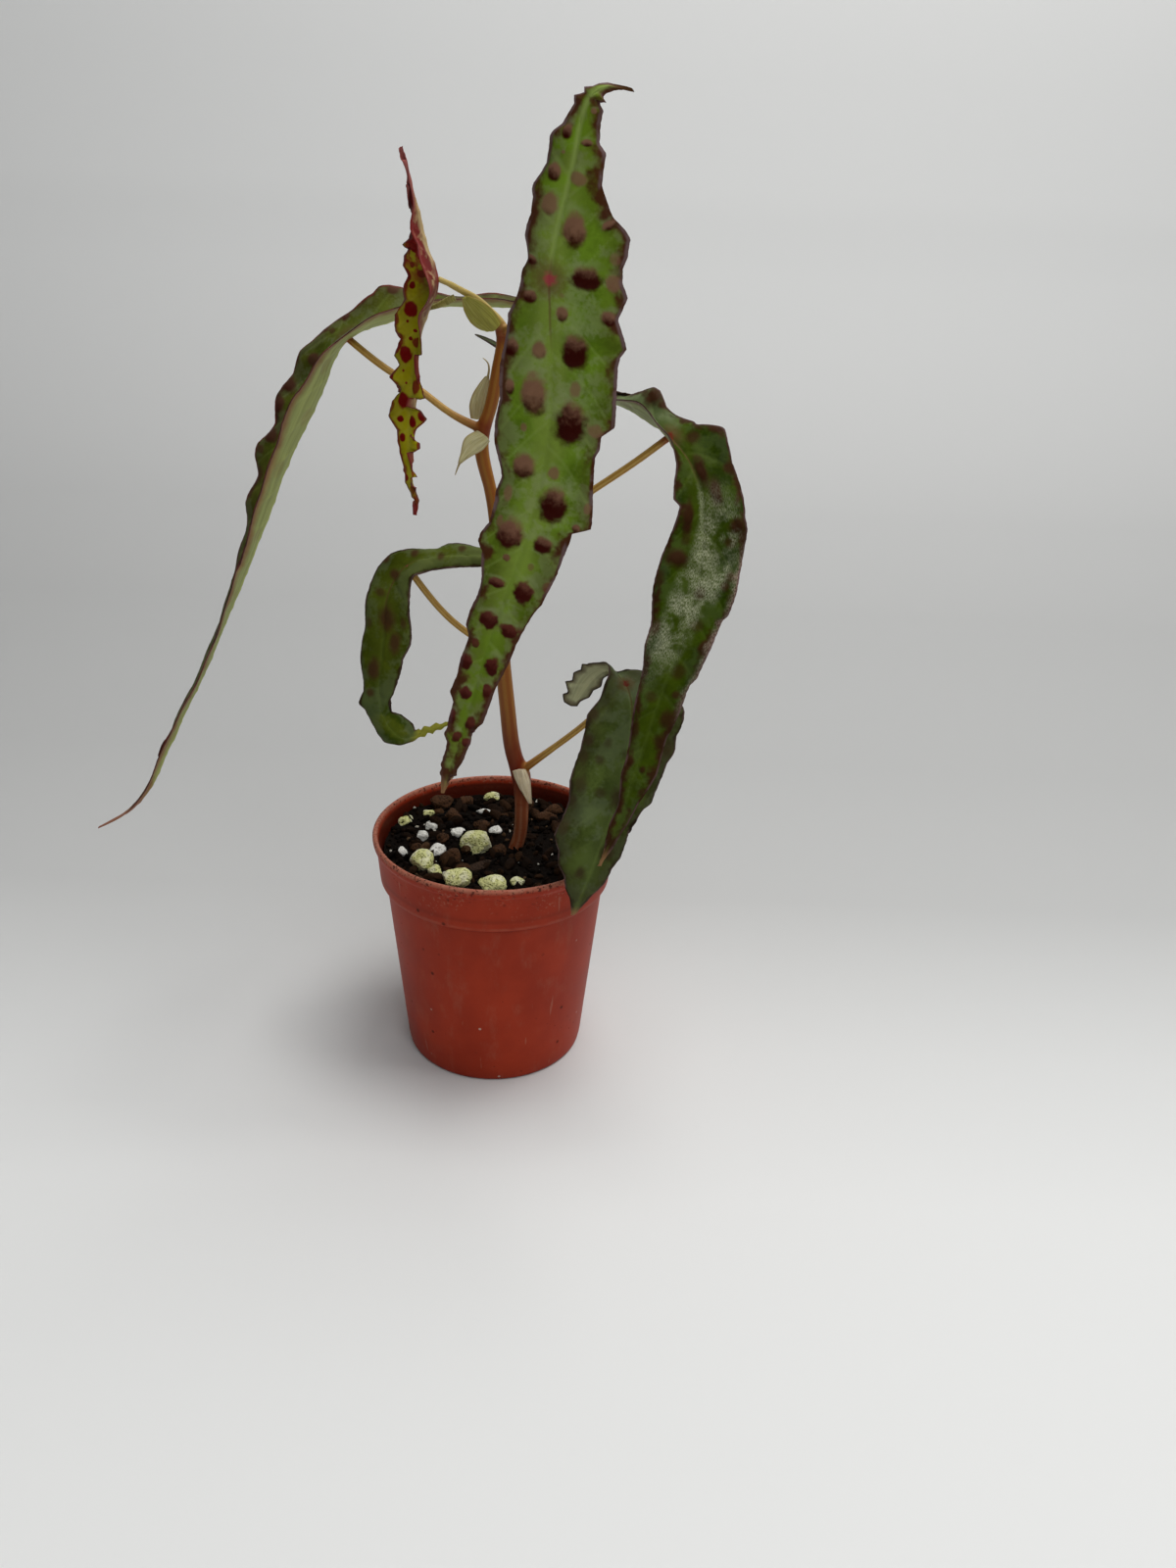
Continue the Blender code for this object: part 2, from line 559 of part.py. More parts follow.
def draw_bumps():
    draw = random.Random(21)
    bumps = []
    for _ in range(MIX_BUMPS):
        angle = draw.uniform(0.0, math.tau)
        away = 26.0 * math.sqrt(draw.random())
        rise = MIX_RELIEF * draw.uniform(-0.6, 1.0)
        bumps.append((away * math.cos(angle), away * math.sin(angle), draw.uniform(2.0, 4.0), rise))
    return bumps


def make_potting_mix(bumps, tools):
    """The fill of the pot, from which the tools take the hole of the cane and the stones' dimples."""
    points = [(0.0, 0.0, mix_height(0.0, 0.0, bumps))]
    for ring in range(1, MIX_RINGS + 1):
        for i in range(MIX_SEGMENTS):
            angle = math.tau * (i + 0.5 * (ring % 2)) / MIX_SEGMENTS
            radius = (wall_inside(MIX_LEVEL) - WALL_GAP) * ring / MIX_RINGS
            x = radius * math.cos(angle)
            y = radius * math.sin(angle)
            height = mix_height(x, y, bumps)
            if ring == MIX_RINGS:
                height = min(height, MIX_EDGE)
            points.append((x, y, height))
    wall_heights = (POT_HEIGHT - BAND_DEPTH + 1.2, POT_HEIGHT - BAND_DEPTH - 1.2, FLOOR + GAP)
    for height in wall_heights:
        for i in range(MIX_SEGMENTS):
            angle = math.tau * (i + 0.5 * (MIX_RINGS % 2)) / MIX_SEGMENTS
            radius = wall_inside(height) - WALL_GAP
            points.append((radius * math.cos(angle), radius * math.sin(angle), height))
    faces = [(0, 1 + i, 1 + (i + 1) % MIX_SEGMENTS) for i in range(MIX_SEGMENTS)]
    rings = MIX_RINGS + len(wall_heights)
    for ring in range(rings - 1):
        inner = 1 + ring * MIX_SEGMENTS
        outer = inner + MIX_SEGMENTS
        lead = 1 if ring % 2 == 0 and ring < MIX_RINGS - 1 else 0
        for i in range(MIX_SEGMENTS):
            j = (i + 1) % MIX_SEGMENTS
            if lead:
                faces.append((inner + i, outer + i, outer + j))
                faces.append((inner + i, outer + j, inner + j))
            else:
                faces.append((inner + i, outer + i, inner + j))
                faces.append((inner + j, outer + i, outer + j))
    last = 1 + (rings - 1) * MIX_SEGMENTS
    faces.append(tuple(last + i for i in reversed(range(MIX_SEGMENTS))))
    made = make_object("potting_mix", points, faces)
    face_outward(made)
    combine(made, tools, "DIFFERENCE")
    return made


def hole_route():
    """Route of the plain hole that the cane stands in, a gap wider and deeper than the cane."""
    (x, y, z), foot_radius = CANE[0]
    route = [((x, y, z - GAP), foot_radius + GAP)]
    route += [(centre, radius + GAP) for centre, radius in CANE[1:HOLE_MOUTH]]
    return route


def make_stone(name, place, half, turn, seed, height, grow=0.0):
    """A faceted lump: a rough ball, stretched and turned."""
    bpy.ops.mesh.primitive_ico_sphere_add(subdivisions=2, radius=1.0)
    made = bpy.context.object
    made.name = name
    made.data.name = name
    draw = random.Random(seed)
    turned = math.radians(turn)
    for vertex in made.data.vertices:
        rough = 1.0 + STONE_ROUGHNESS * draw.uniform(-1.0, 1.0)
        x, y, z = (rough * h * c + grow * c for h, c in zip(half, vertex.co))
        vertex.co = (
            MM * (place[0] + x * math.cos(turned) - y * math.sin(turned)),
            MM * (place[1] + x * math.sin(turned) + y * math.cos(turned)),
            MM * (height + z),
        )
    return made


def stone_height(place, half, bumps):
    """Height of a stone's centre when part of it is sunk in the mix."""
    return mix_height(*place, bumps) + half[2] * (1.0 - 2.0 * SINK)


def make_stem():
    """The cane with its leaf stalks, joined in one body."""
    cane = make_tube("stem", CANE, CANE_SIDES, CANE_STEPS)
    stalks = []
    for leaf in STALKS:
        route = stalk_route(leaf)
        stalks.append(make_tube("stalk_" + leaf, route, STALK_SIDES, STEPS_PER_BEND * len(route)))
    combine(cane, stalks, "UNION")
    cane.data.shade_smooth()
    return cane


def under_shield(leaf):
    """Where a stalk ends below its blade, and the direction from there back along the stalk."""
    blade = BLADES[leaf]
    (midrib, left, right), _ = loft_guides(blade.stations, 401)
    shield = np.array(blade.stations[blade.shield][0])
    row = int(np.argmin(np.linalg.norm(midrib - shield, axis=1)))
    below = unit(np.cross(midrib[row + 1] - midrib[row - 1], right[row] - left[row]))
    if np.dot(np.array(STALKS[leaf][-1]) - midrib[row], below) < 0.0:
        below = -below
    return midrib[row] + (BLADE_THICKNESS / 2.0 + GAP) * below, below


def stalk_route(leaf):
    """Centres and radii of a stalk that ends square under its blade."""
    end, below = under_shield(leaf)
    if leaf == "leaf_young":
        return [(point, YOUNG_STALK_RADIUS) for point in (*STALKS[leaf], tuple(end))]
    root, *bends = STALKS[leaf]
    route = [(root, STALK_ROOT * STALK_RADIUS)]
    route += [(point, STALK_RADIUS) for point in (*bends, tuple(end + SQUARE_END * below), tuple(end))]
    return route


def give_material(thing, material):
    thing.data.materials.clear()
    thing.data.materials.append(material)


def main():
    clear_scene()
    materials = {name: make_material(name, colour, PLAIN_ROUGHNESS) for name, colour in COLOURS.items()}
    bumps = draw_bumps()

    tools = [make_tube("stem_hole", hole_route(), CANE_SIDES, HOLE_STEPS)]
    for name, (place, half, turn, seed) in STONES.items():
        height = stone_height(place, half, bumps)
        stone = make_stone(name, place, half, turn, seed, height)
        give_material(stone, materials[name.split("_")[0]])
        tools.append(make_stone("dimple", place, half, turn, seed, height, grow=GAP))
    give_material(make_potting_mix(bumps, tools), materials["potting_mix"])

    give_material(make_pot(), materials["pot"])
    give_material(make_stem(), materials["stem"])
    for name, blade in BLADES.items():
        leaf = make_sheet(name, blade_sheet(blade), BLADE_THICKNESS)
        give_material(leaf, make_material(name, blade.colour, LEAF_ROUGHNESS))
    for name, stations in STIPULES.items():
        grid, _, _ = smooth_sheet(stations, STIPULE_ROWS)
        give_material(make_sheet(name, grid, BLADE_THICKNESS), materials["stipule"])
    give_material(make_tube("bud", BUD, STALK_SIDES, BUD_STEPS), materials["bud"])


if __name__ == "__main__":
    main()
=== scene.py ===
"""Looks of a potted begonia: a tall cane with six long shield leaves in a small round nursery pot.

Sizes are in millimetres and become metres as each mesh is made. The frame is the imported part's own: the origin is
the centre of the pot's underside, +Z is up and -Y faces the viewer.
"""
import logging
import math
import random
from collections.abc import Sequence
from dataclasses import dataclass
from enum import Enum

import bpy
import numpy as np
from mathutils import Matrix, Vector, noise


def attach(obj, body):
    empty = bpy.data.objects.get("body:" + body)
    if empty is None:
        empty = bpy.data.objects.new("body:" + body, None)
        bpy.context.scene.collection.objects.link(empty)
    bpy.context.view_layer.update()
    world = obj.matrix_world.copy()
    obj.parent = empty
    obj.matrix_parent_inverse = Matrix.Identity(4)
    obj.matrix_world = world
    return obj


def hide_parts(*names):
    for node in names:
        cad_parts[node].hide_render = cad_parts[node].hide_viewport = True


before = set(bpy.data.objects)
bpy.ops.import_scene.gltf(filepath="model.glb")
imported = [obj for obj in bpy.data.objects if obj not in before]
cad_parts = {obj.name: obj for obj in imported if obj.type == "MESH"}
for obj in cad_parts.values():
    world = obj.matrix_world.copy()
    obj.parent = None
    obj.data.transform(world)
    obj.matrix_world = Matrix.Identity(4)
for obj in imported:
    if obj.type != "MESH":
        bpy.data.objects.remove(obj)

LOG = logging.getLogger("begonia")
MM = 0.001
FAR = 9.0  # beyond the reach of any spot
ENDLESS = 1e9  # farther than any point
SHEET_ANGLE = 62.0  # degrees between faces up to which a piece is shaded smooth
POT_ANGLE = 40.0
MIX_ANGLE = 70.0
STONE_ANGLE = 60.0
BODY = "root"

Colour = tuple[float, float, float]
Point = tuple[float, float, float]
Stations = tuple[tuple[float, ...], ...]  # a place on the midrib, and the reach of each margin from it
Route = Sequence[tuple[Point, float]]
Readings = tuple[float, ...]  # places in thousandths of the length and offsets in tenths of a mm, in turn
# A spot's place along and across the blade, its half sizes along and across in mm, and how dark it is. The numbers
# count thousandths, hundredths, tenths, tenths and hundredths.
Spots = tuple[tuple[float, float, float, float, float], ...]
SPOT_UNITS = (1000.0, 100.0, 10.0, 10.0, 100.0)


class Wire:
    """A socket that grows Math nodes when it is used in an expression."""

    def __init__(self, graph: "Graph", socket: bpy.types.NodeSocket) -> None:
        """Keep the socket with the graph it belongs to."""
        self.graph = graph
        self.socket = socket

    def _math(self, operation: str, first: "Wire | float", second: "Wire | float") -> "Wire":
        """Add one Math node over two values."""
        return self.graph.node("ShaderNodeMath", {"operation": operation}, {0: first, 1: second})

    def __add__(self, other: "Wire | float") -> "Wire":
        """Sum."""
        return self._math("ADD", self, other)

    __radd__ = __add__

    def __sub__(self, other: "Wire | float") -> "Wire":
        """Difference."""
        return self._math("SUBTRACT", self, other)

    def __rsub__(self, other: "Wire | float") -> "Wire":
        """Difference, taken from a number."""
        return self._math("SUBTRACT", other, self)

    def __mul__(self, other: "Wire | float") -> "Wire":
        """Product."""
        return self._math("MULTIPLY", self, other)

    __rmul__ = __mul__

    def __truediv__(self, other: "Wire | float") -> "Wire":
        """Quotient."""
        return self._math("DIVIDE", self, other)

    def most(self, other: "Wire | float") -> "Wire":
        """The larger of two values."""
        return self._math("MAXIMUM", self, other)

    def rise(self, low: float, high: float) -> "Wire":
        """Smooth step from 0 at `low` to 1 at `high`."""
        settings = {"interpolation_type": "SMOOTHSTEP"}
        return self.graph.node("ShaderNodeMapRange", settings, {"Value": self, "From Min": low, "From Max": high})

    def fall(self, low: float, high: float) -> "Wire":
        """Smooth step from 1 at `low` to 0 at `high`."""
        return 1.0 - self.rise(low, high)


class Graph:
    """The node tree of one new material."""

    def __init__(self, name: str) -> None:
        """Start an empty tree with object coordinates.

        Args:
            name: Name of the material.
        """
        self.material = bpy.data.materials.new(name)
        self.material.use_nodes = True
        self.tree = self.material.node_tree
        self.tree.nodes.clear()
        self.place = self.node("ShaderNodeTexCoord", {}, {}, "Object")
        self.colour: Wire | Colour = (0.0, 0.0, 0.0)
        self.read: dict[str, Wire] = {}

    def node(
        self,
        kind: str,
        settings: dict[str, object],
        inputs: dict[int | str, object],
        output: int | str = 0,
    ) -> Wire:
        """Add a node.

        Args:
            kind: Blender's name of the node type.
            settings: Properties to set first; "stops" are a ramp's places with their colours.
            inputs: A number, colour or wire for each socket.
            output: The socket that is handed back.

        Returns:
            A wire from that socket.
        """
        made = self.tree.nodes.new(kind)
        for key, value in settings.items():
            if key == "stops":
                self._set_ramp(made.color_ramp, value)
            else:
                setattr(made, key, value)
        for key, value in inputs.items():
            self._feed(made.inputs[key], value)
        return Wire(self, made.outputs[output])

    def _set_ramp(self, ramp: bpy.types.ColorRamp, stops: Sequence[tuple[float, Colour]]) -> None:
        """Give a colour ramp its stops.

        Args:
            ramp: The ramp.
            stops: Places from 0 to 1 with their colours.
        """
        while len(ramp.elements) < len(stops):
            ramp.elements.new(1.0)
        for element, (place, colour) in zip(ramp.elements, stops):
            element.position = place
            element.color = (*colour, 1.0)

    def _feed(self, socket: bpy.types.NodeSocket, value: object) -> None:
        """Link a wire to a socket, or write a number or colour on it.

        Args:
            socket: The socket.
            value: What goes into it.
        """
        if isinstance(value, Wire):
            self.tree.links.new(value.socket, socket)
        elif socket.type == "RGBA":
            socket.default_value = (*value, 1.0)
        else:
            socket.default_value = value

    def axis(self, index: int) -> Wire:
        """Place along X, Y or Z in millimetres."""
        return self.node("ShaderNodeSeparateXYZ", {}, {"Vector": self.place}, index) * (1.0 / MM)

    def attribute(self, name: str) -> Wire:
        """A number that the mesh carries at each point, from one node for each name.

        Args:
            name: Name of the number.

        Returns:
            The number.
        """
        if name not in self.read:
            self.read[name] = self.node("ShaderNodeAttribute", {"attribute_name": name}, {}, "Fac")
        return self.read[name]

    def noise(self, size: float, detail: float = 3.0, stretch: Point = (1.0, 1.0, 1.0), rough: float = 0.5) -> Wire:
        """Cloudy noise from 0 to 1 whose blobs are about `size` mm, stretched along an axis by factors above 1.

        Args:
            size: Width of a blob in mm.
            detail: Finer layers.
            stretch: Factors along X, Y and Z.
            rough: Weight of the finer layers.

        Returns:
            The noise.
        """
        scale = tuple(1.0 / (MM * size * s) for s in stretch)
        place = self.node("ShaderNodeMapping", {}, {"Vector": self.place, "Scale": scale})
        inputs = {"Vector": place, "Scale": 1.0, "Detail": detail, "Roughness": rough}
        return self.node("ShaderNodeTexNoise", {}, inputs, 0)

    def cells(self, size: float) -> Wire:
        """Distance to the cell points of a Voronoi pattern with cells about `size` mm wide."""
        inputs = {"Vector": self.place, "Scale": 1.0 / (MM * size)}
        return self.node("ShaderNodeTexVoronoi", {}, inputs, "Distance")

    def drawn(self, across: float, along: float, detail: float = 3.0) -> Wire:
        """Noise on a sheet's own map, with so many blobs over its width and over its length.

        Args:
            across: Blobs over the width.
            along: Blobs over the length.
            detail: Finer layers.

        Returns:
            The noise.
        """
        uv = self.node("ShaderNodeUVMap", {"uv_map": "UVMap"}, {})
        place = self.node("ShaderNodeMapping", {}, {"Vector": uv, "Scale": (across, along, 1.0)})
        return self.node("ShaderNodeTexNoise", {}, {"Vector": place, "Scale": 1.0, "Detail": detail}, 0)

    def mix(self, factor: Wire | float, first: Wire | Colour, second: Wire | Colour) -> Wire:
        """Blend from the first colour to the second."""
        return self.node("ShaderNodeMix", {"data_type": "RGBA"}, {0: factor, 6: first, 7: second}, 2)

    def coat(self, cover: Wire | float, colour: Wire | Colour) -> None:
        """Lay a colour over the colour so far."""
        self.colour = self.mix(cover, self.colour, colour)

    def ramp(self, value: Wire, stops: Sequence[tuple[float, Colour]]) -> Wire:
        """Colours along a value."""
        return self.node("ShaderNodeValToRGB", {"stops": stops}, {"Fac": value}, "Color")

    def bump(self, height: Wire, depth: float, strength: float = 1.0) -> Wire:
        """A normal from a height of 0 to 1 that stands for `depth` mm."""
        inputs = {"Height": height, "Distance": depth * MM, "Strength": strength}
        return self.node("ShaderNodeBump", {}, inputs, "Normal")

    def close(self, inputs: dict[str, object]) -> bpy.types.Material:
        """Finish the tree with a Principled shader in the colour so far.

        Args:
            inputs: A number, colour or wire for each of the shader's other sockets.

        Returns:
            The material.
        """
        shader = self.node("ShaderNodeBsdfPrincipled", {}, {"Base Color": self.colour, **inputs})
        out = self.tree.nodes.new("ShaderNodeOutputMaterial")
        self.tree.links.new(shader.socket, out.inputs["Surface"])
        return self.material


@dataclass(frozen=True)
class LeafFinish:
    """Colours of one leaf, above and below."""

    name: str
    deep: Colour
    light: Colour
    centre: Colour  # along the midrib
    spot: Colour
    hem: Colour
    under: Colour
    under_hem: Colour
    rib: Colour = (0.30, 0.40, 0.10)
    rib_short: float = 0.3  # how clearly the midrib shows on the short lobe
    rib_long: float = 0.12  # and on the long one
    shield: Colour = (0.42, 0.05, 0.07)
    shield_size: float = 1.5
    halo: Colour = (0.10, 0.05, 0.02)
    rim: Colour = (0.235, 0.115, 0.070)  # painted highlight on a spot's upper side
    reddened_spot_highlight: Colour = (0.110, 0.023, 0.017)  # the same painted highlight where the leaf reddens
    cover: float = 1.0  # how fully a spot hides the green
    highlight_above_spot_show: float = 0.0  # painted highlight just above a spot
    painted_sheen: Colour = (0.23, 0.27, 0.14)  # painted sheen: a soft reflection painted over parts of the blade
    line: float = 0.6  # width of the dark line along the margin
    glow: float = 1.9  # reach of the red under the margin
    redden: float = 1.0  # share of the length from which the hem grows wide
    painted_sheen_show: float = 0.30
    end_green_and_shade: Colour = (0.170, 0.330, 0.008)  # another green toward both ends: yellower by default, painted shade on the curled leaf
    end_green_and_shade_show: float = 0.0
    roll: Colour = (0.130, 0.080, 0.080)  # painted highlight along the rolled border of the margin
    blush: Colour = (0.34, 0.12, 0.11)  # pink short end of a young leaf
    roll_highlight_show: float = 0.55
    roll_highlight_reach: float = 0.5
    # browner, darker sides: partly the leaf's own brown, partly painted shade where the blade turns away
    flank_brown_and_shade: Colour = (0.060, 0.045, 0.010)
    flank_brown_and_shade_show: float = 0.0  # how strongly the sides turn brown and dark
    veins: float = 0.10
    # chalky dust of an old leaf, with a painted sheen laid in the same streaky patches
    bloom_and_sheen: Colour = (0.30, 0.32, 0.19)
    bloom_and_sheen_share: float = 0.0
    bloom_and_sheen_side: float = 0.15  # where across the blade the dust and painted sheen lie
    chalk: Colour = (0.40, 0.29, 0.24)  # the dust near the margin
    lobe_painted_sheen: float = 0.0  # painted sheen over the short lobe
    hem_width: float = 1.5
    soft: float = 0.2  # softness of a spot's border
    flush: Colour = (0.34, 0.03, 0.03)
    flush_end: float = 0.0  # share of the length up to which the short lobe is flushed
    tip: Colour = (0.30, 0.16, 0.07)
    tip_start: float = 0.985
    gloss: float = 0.42

    def _hem(self, g: Graph) -> Wire:
        """1 along the margin: a fine line all round, and ragged blotches that run inward from it.

        Args:
            g: The material's graph.

        Returns:
            The hem's cover.
        """
        edge = g.attribute("edge")
        share = g.attribute("share").rise(self.redden, self.redden + 0.2)
        width = self.hem_width
        ragged = (edge + (g.noise(2.8) - 0.5) * (3.0 * width)).fall(0.3 * width, 1.3 * width)
        blotch = ragged * (g.noise(6) + share * 0.3).rise(0.40, 0.54)
        return (edge + (g.noise(1.5) - 0.5) * 0.4).fall(0.4 * self.line, self.line).most(blotch)

    def top(self) -> bpy.types.Material:
        """The upper face: mottled green with dark blisters, a dark hem and a red shield.

        Returns:
            The material.
        """
        g = Graph(self.name + "_top")
        fine = g.noise(0.7, 4)
        self._ground(g, fine)
        self._ribs(g)
        if self.flush_end:
            flushed = g.attribute("share") + (g.noise(3) - 0.5) * 0.16
            flushed = flushed.fall(self.flush_end - 0.08, self.flush_end + 0.03)
            g.coat(flushed * g.noise(1.6, 4).rise(0.38, 0.52), self.flush)
        g.coat(self._hem(g) * 0.92, self.hem)
        self._blotches(g)
        if self.bloom_and_sheen_share:
            self._dust_and_sheen(g, fine)
        self._borders(g, fine)
        grain = g.noise(0.35, 2) * 0.6 + g.cells(0.5) * 0.5
        return g.close({
            "Roughness": self.gloss + fine * 0.16,
            "Normal": g.bump(grain, 0.05, 0.6),
            "Specular IOR Level": 0.05,
            "Specular Tint": (1, 0.72, 0.50),
        })

    def _reddened(self, g: Graph) -> Wire:
        """How far the long end has turned red."""
        return g.attribute("share").rise(self.redden - 0.15, self.redden + 0.1)

    def _ground(self, g: Graph, fine: Wire) -> None:
        """The mottled green, with its painted sheen and its browner sides, which are partly painted shade.

        Args:
            g: The material's graph.
            fine: Noise of a fine grain.
        """
        edge, share = g.attribute("edge"), g.attribute("share")
        mottle = (g.noise(6) + fine * 0.3 - 0.15).rise(0.32, 0.68)
        g.colour = g.mix(mottle, self.deep, self.light)
        g.coat((g.attribute("rib") + (g.noise(4) - 0.5) * 4).fall(1, 5.5) * 0.6, self.centre)
        if self.end_green_and_shade_show:
            ends = share.fall(0.09, 0.22).most(share.rise(0.60, 0.80))
            ends = ends * (g.noise(5, 2) + g.attribute("across") * 0.10).rise(0.36, 0.56)
            g.coat(ends * self.end_green_and_shade_show, self.end_green_and_shade)
        # painted sheen: patches of soft reflection, a little more of them toward the margin
        sheen_cover = g.noise(7.5, 4) + (g.noise(2.2, 2) - 0.5) * 0.5 + (fine - 0.5) * 0.25
        sheen_cover = (sheen_cover + edge.fall(0.8, 3.5) * 0.10).rise(0.47, 0.63)
        g.coat(sheen_cover * self.painted_sheen_show, self.painted_sheen)
        if self.lobe_painted_sheen:
            lobe = (share + (g.noise(4) - 0.5) * 0.14).fall(0.28, 0.37) * (sheen_cover * 0.3 + 0.7)
            g.coat(lobe * self.lobe_painted_sheen, self.painted_sheen)
        if self.flank_brown_and_shade_show:
            # the sides: partly their own brown, partly painted shade
            aside = (edge + (g.noise(5, 4) - 0.5) * 7.0 - self._reddened(g) * 2.5).fall(1, 6.5)
            g.coat(aside * self.flank_brown_and_shade_show, self.flank_brown_and_shade)

    def _ribs(self, g: Graph) -> None:
        """The midrib and its side veins, pale where they show, with painted shade in the crease.

        Args:
            g: The material's graph.
        """
        rib = g.attribute("rib")
        g.coat(g.attribute("vein").fall(0.05, 0.6) * self.veins, self.rib)
        toward = g.attribute("short")
        strength = toward * (self.rib_short - self.rib_long) + self.rib_long
        g.coat(rib.fall(0.15, 0.85) * strength, self.rib)
        # painted shade in the midrib's crease near the shield, in the halo colour
        crease = rib.fall(0.10, 0.45) * (1.0 - toward) * g.attribute("shield").fall(6, 14)
        g.coat(crease * 0.55, self.halo)

    def _blotches(self, g: Graph) -> None:
        """The dark spots, each with a painted highlight on its upper side and a painted sheen just above it.

        Args:
            g: The material's graph.
        """
        spot, stain, lie = g.attribute("spot"), g.attribute("stain"), g.attribute("lie")
        reddened = self._reddened(g)
        bordered = spot + (g.noise(1.3, 2) - 0.5) * 0.5
        bordered = bordered + reddened * ((g.noise(2.6, 2) - 0.5) * 1.1 - 0.06)
        blotch = bordered.fall(0.90 - self.soft, 1.0 + self.soft) * (stain * self.cover).rise(-0.2, 0.9)
        # the upper side of each spot is painted in the rim colour as a highlight; the rest keeps the spot's own
        # dark colour
        shaded = lie + (g.noise(1.1, 4) - 0.5) * 1.3 + (stain - 0.9) * 4.0
        shaded = shaded.rise(-0.75, 0.45)
        # painted highlight just above each spot, in the sheen colour
        highlight_above_spot = (spot + (g.noise(2, 3) - 0.5) * 1.2).fall(0.9, 1.9)
        highlight_above_spot = highlight_above_spot * (lie + (g.noise(1.6) - 0.5)).fall(-1.4, -0.5) * stain
        g.coat(highlight_above_spot * self.highlight_above_spot_show, self.painted_sheen)
        lit = g.mix(reddened, self.rim, self.reddened_spot_highlight)
        core = g.mix(reddened * 0.45, self.spot, self.hem)
        g.coat(blotch, g.mix(shaded, lit, core))

    def _dust_and_sheen(self, g: Graph, fine: Wire) -> None:
        """The chalky dust and painted sheen over the middle of an old leaf, along its trunk and at its margin.

        Args:
            g: The material's graph.
            fine: Noise of a fine grain.
        """
        across, share = g.attribute("across"), g.attribute("share")
        away = across - self.bloom_and_sheen_side + (share - 0.5).most(-0.02) * 4.0
        band = (away * away + (0.5 - share).most(0) * 5.0 + (g.noise(8) - 0.5) * 0.4).fall(0.04, 0.46)
        band = band * share.rise(0.41, 0.50) * share.fall(0.64, 0.74)
        worn = g.attribute("edge") + (g.noise(3, 4) - 0.5) * 3.0
        worn = worn.fall(0.2, 1.6) * share.rise(0.50, 0.53) * (share - across * 0.05).fall(0.66, 0.74)
        worn = worn * (across + (share - 0.58).most(0) * 20).rise(0, 0.5)
        patch = g.noise(5, 3) + g.noise(1.8, 2) * 0.25 + self.bloom_and_sheen_share
        trunk = (g.attribute("rib") + (fine - 0.5) * 1.2).fall(0.2, 1)
        trunk = trunk * share.rise(0.42, 0.46) * share.fall(0.55, 0.60)
        patch = (patch.rise(0.68, 0.92) * band).most(trunk * 0.7).most(worn * 0.8)
        # the pale patches are partly real chalky dust and partly painted sheen
        hairs = g.drawn(110, 260, 4).rise(0.38, 0.64)
        dust = g.mix(worn, self.bloom_and_sheen, self.chalk)
        g.coat(patch * (hairs * 0.70 + 0.06), dust)

    def _borders(self, g: Graph, fine: Wire) -> None:
        """The painted highlight along the rolled margin, both tips and the red shield.

        Args:
            g: The material's graph.
            fine: Noise of a fine grain.
        """
        share = g.attribute("share")
        # painted highlight along the rolled margin, weaker where the leaf reddens
        rolled = g.attribute("edge").fall(0.4 * self.roll_highlight_reach, self.roll_highlight_reach) * g.noise(4).rise(0.38, 0.56)
        rolled = rolled * (1.0 - share.rise(self.redden - 0.1, self.redden + 0.1) * 0.7)
        g.coat(rolled * self.roll_highlight_show, self.roll)
        g.coat(share.rise(self.tip_start - 0.02, self.tip_start + 0.01) * 0.85, self.tip)
        if self.flush_end:
            g.coat(share.fall(0.05, 0.15) * 0.7, self.blush)
        shield = g.attribute("shield") + (fine - 0.5) * 1.5
        g.coat(shield.fall(self.shield_size, 3.2 * self.shield_size) * 0.6, self.halo)
        g.coat(shield.fall(0.4 * self.shield_size, 1.2 * self.shield_size) * 0.85, self.shield)

    def below(self) -> bpy.types.Material:
        """The underside: paler and dull, with raised ribs and a reddish hem.

        Returns:
            The material.
        """
        g = Graph(self.name + "_under")
        fine = g.noise(0.8, 3)
        edge, rib = g.attribute("edge"), g.attribute("rib")
        share, shield = g.attribute("share"), g.attribute("shield")
        darker = tuple(0.74 * c for c in self.under)
        paler = tuple(min(1, 1.25 * c) for c in self.under)
        g.colour = g.mix(g.drawn(14, 5).rise(0.36, 0.64), darker, self.under)
        streaks = rib.fall(0.2, 1.1) * 0.5 + g.attribute("vein").fall(0.1, 0.6) * 0.25
        g.coat(streaks, paler)
        if self.flush_end:
            flushed = (share + (g.noise(3) - 0.5) * 0.2).fall(0.30, 0.62)
            stained = g.noise(1.7, 4).rise(0.40, 0.52)
            aside = (rib + (g.noise(3) - 0.5) * 2.4).rise(0.5, 1.7)
            near = (shield + (g.noise(2) - 0.5) * 4).fall(1.6, 4.8)
            red = (flushed * (stained * 0.8 + 0.2) * aside).most(near)
            g.coat(red, tuple(0.62 * c for c in self.flush))
        through = g.attribute("spot").fall(0.7, 1.2) * g.attribute("stain") * 0.25
        g.coat(through, self.under_hem)
        glow = (edge + (g.noise(3) - 0.5) * 2).fall(0.4, self.glow)
        g.coat(glow * 0.85, self.under_hem)
        g.coat(edge.fall(0.15, 0.45), self.hem)
        g.coat(shield.fall(0.6, 2.6) * 0.8, self.flush)
        g.coat(share.rise(self.tip_start - 0.06, self.tip_start), self.tip)
        if self.flush_end:
            g.coat(share.fall(0.05, 0.15) * 0.7, self.blush)
        return g.close({
            "Roughness": 0.5 + fine * 0.2,
            "Normal": g.bump(fine, 0.05, 0.5),
            "Specular IOR Level": 0.25,
        })


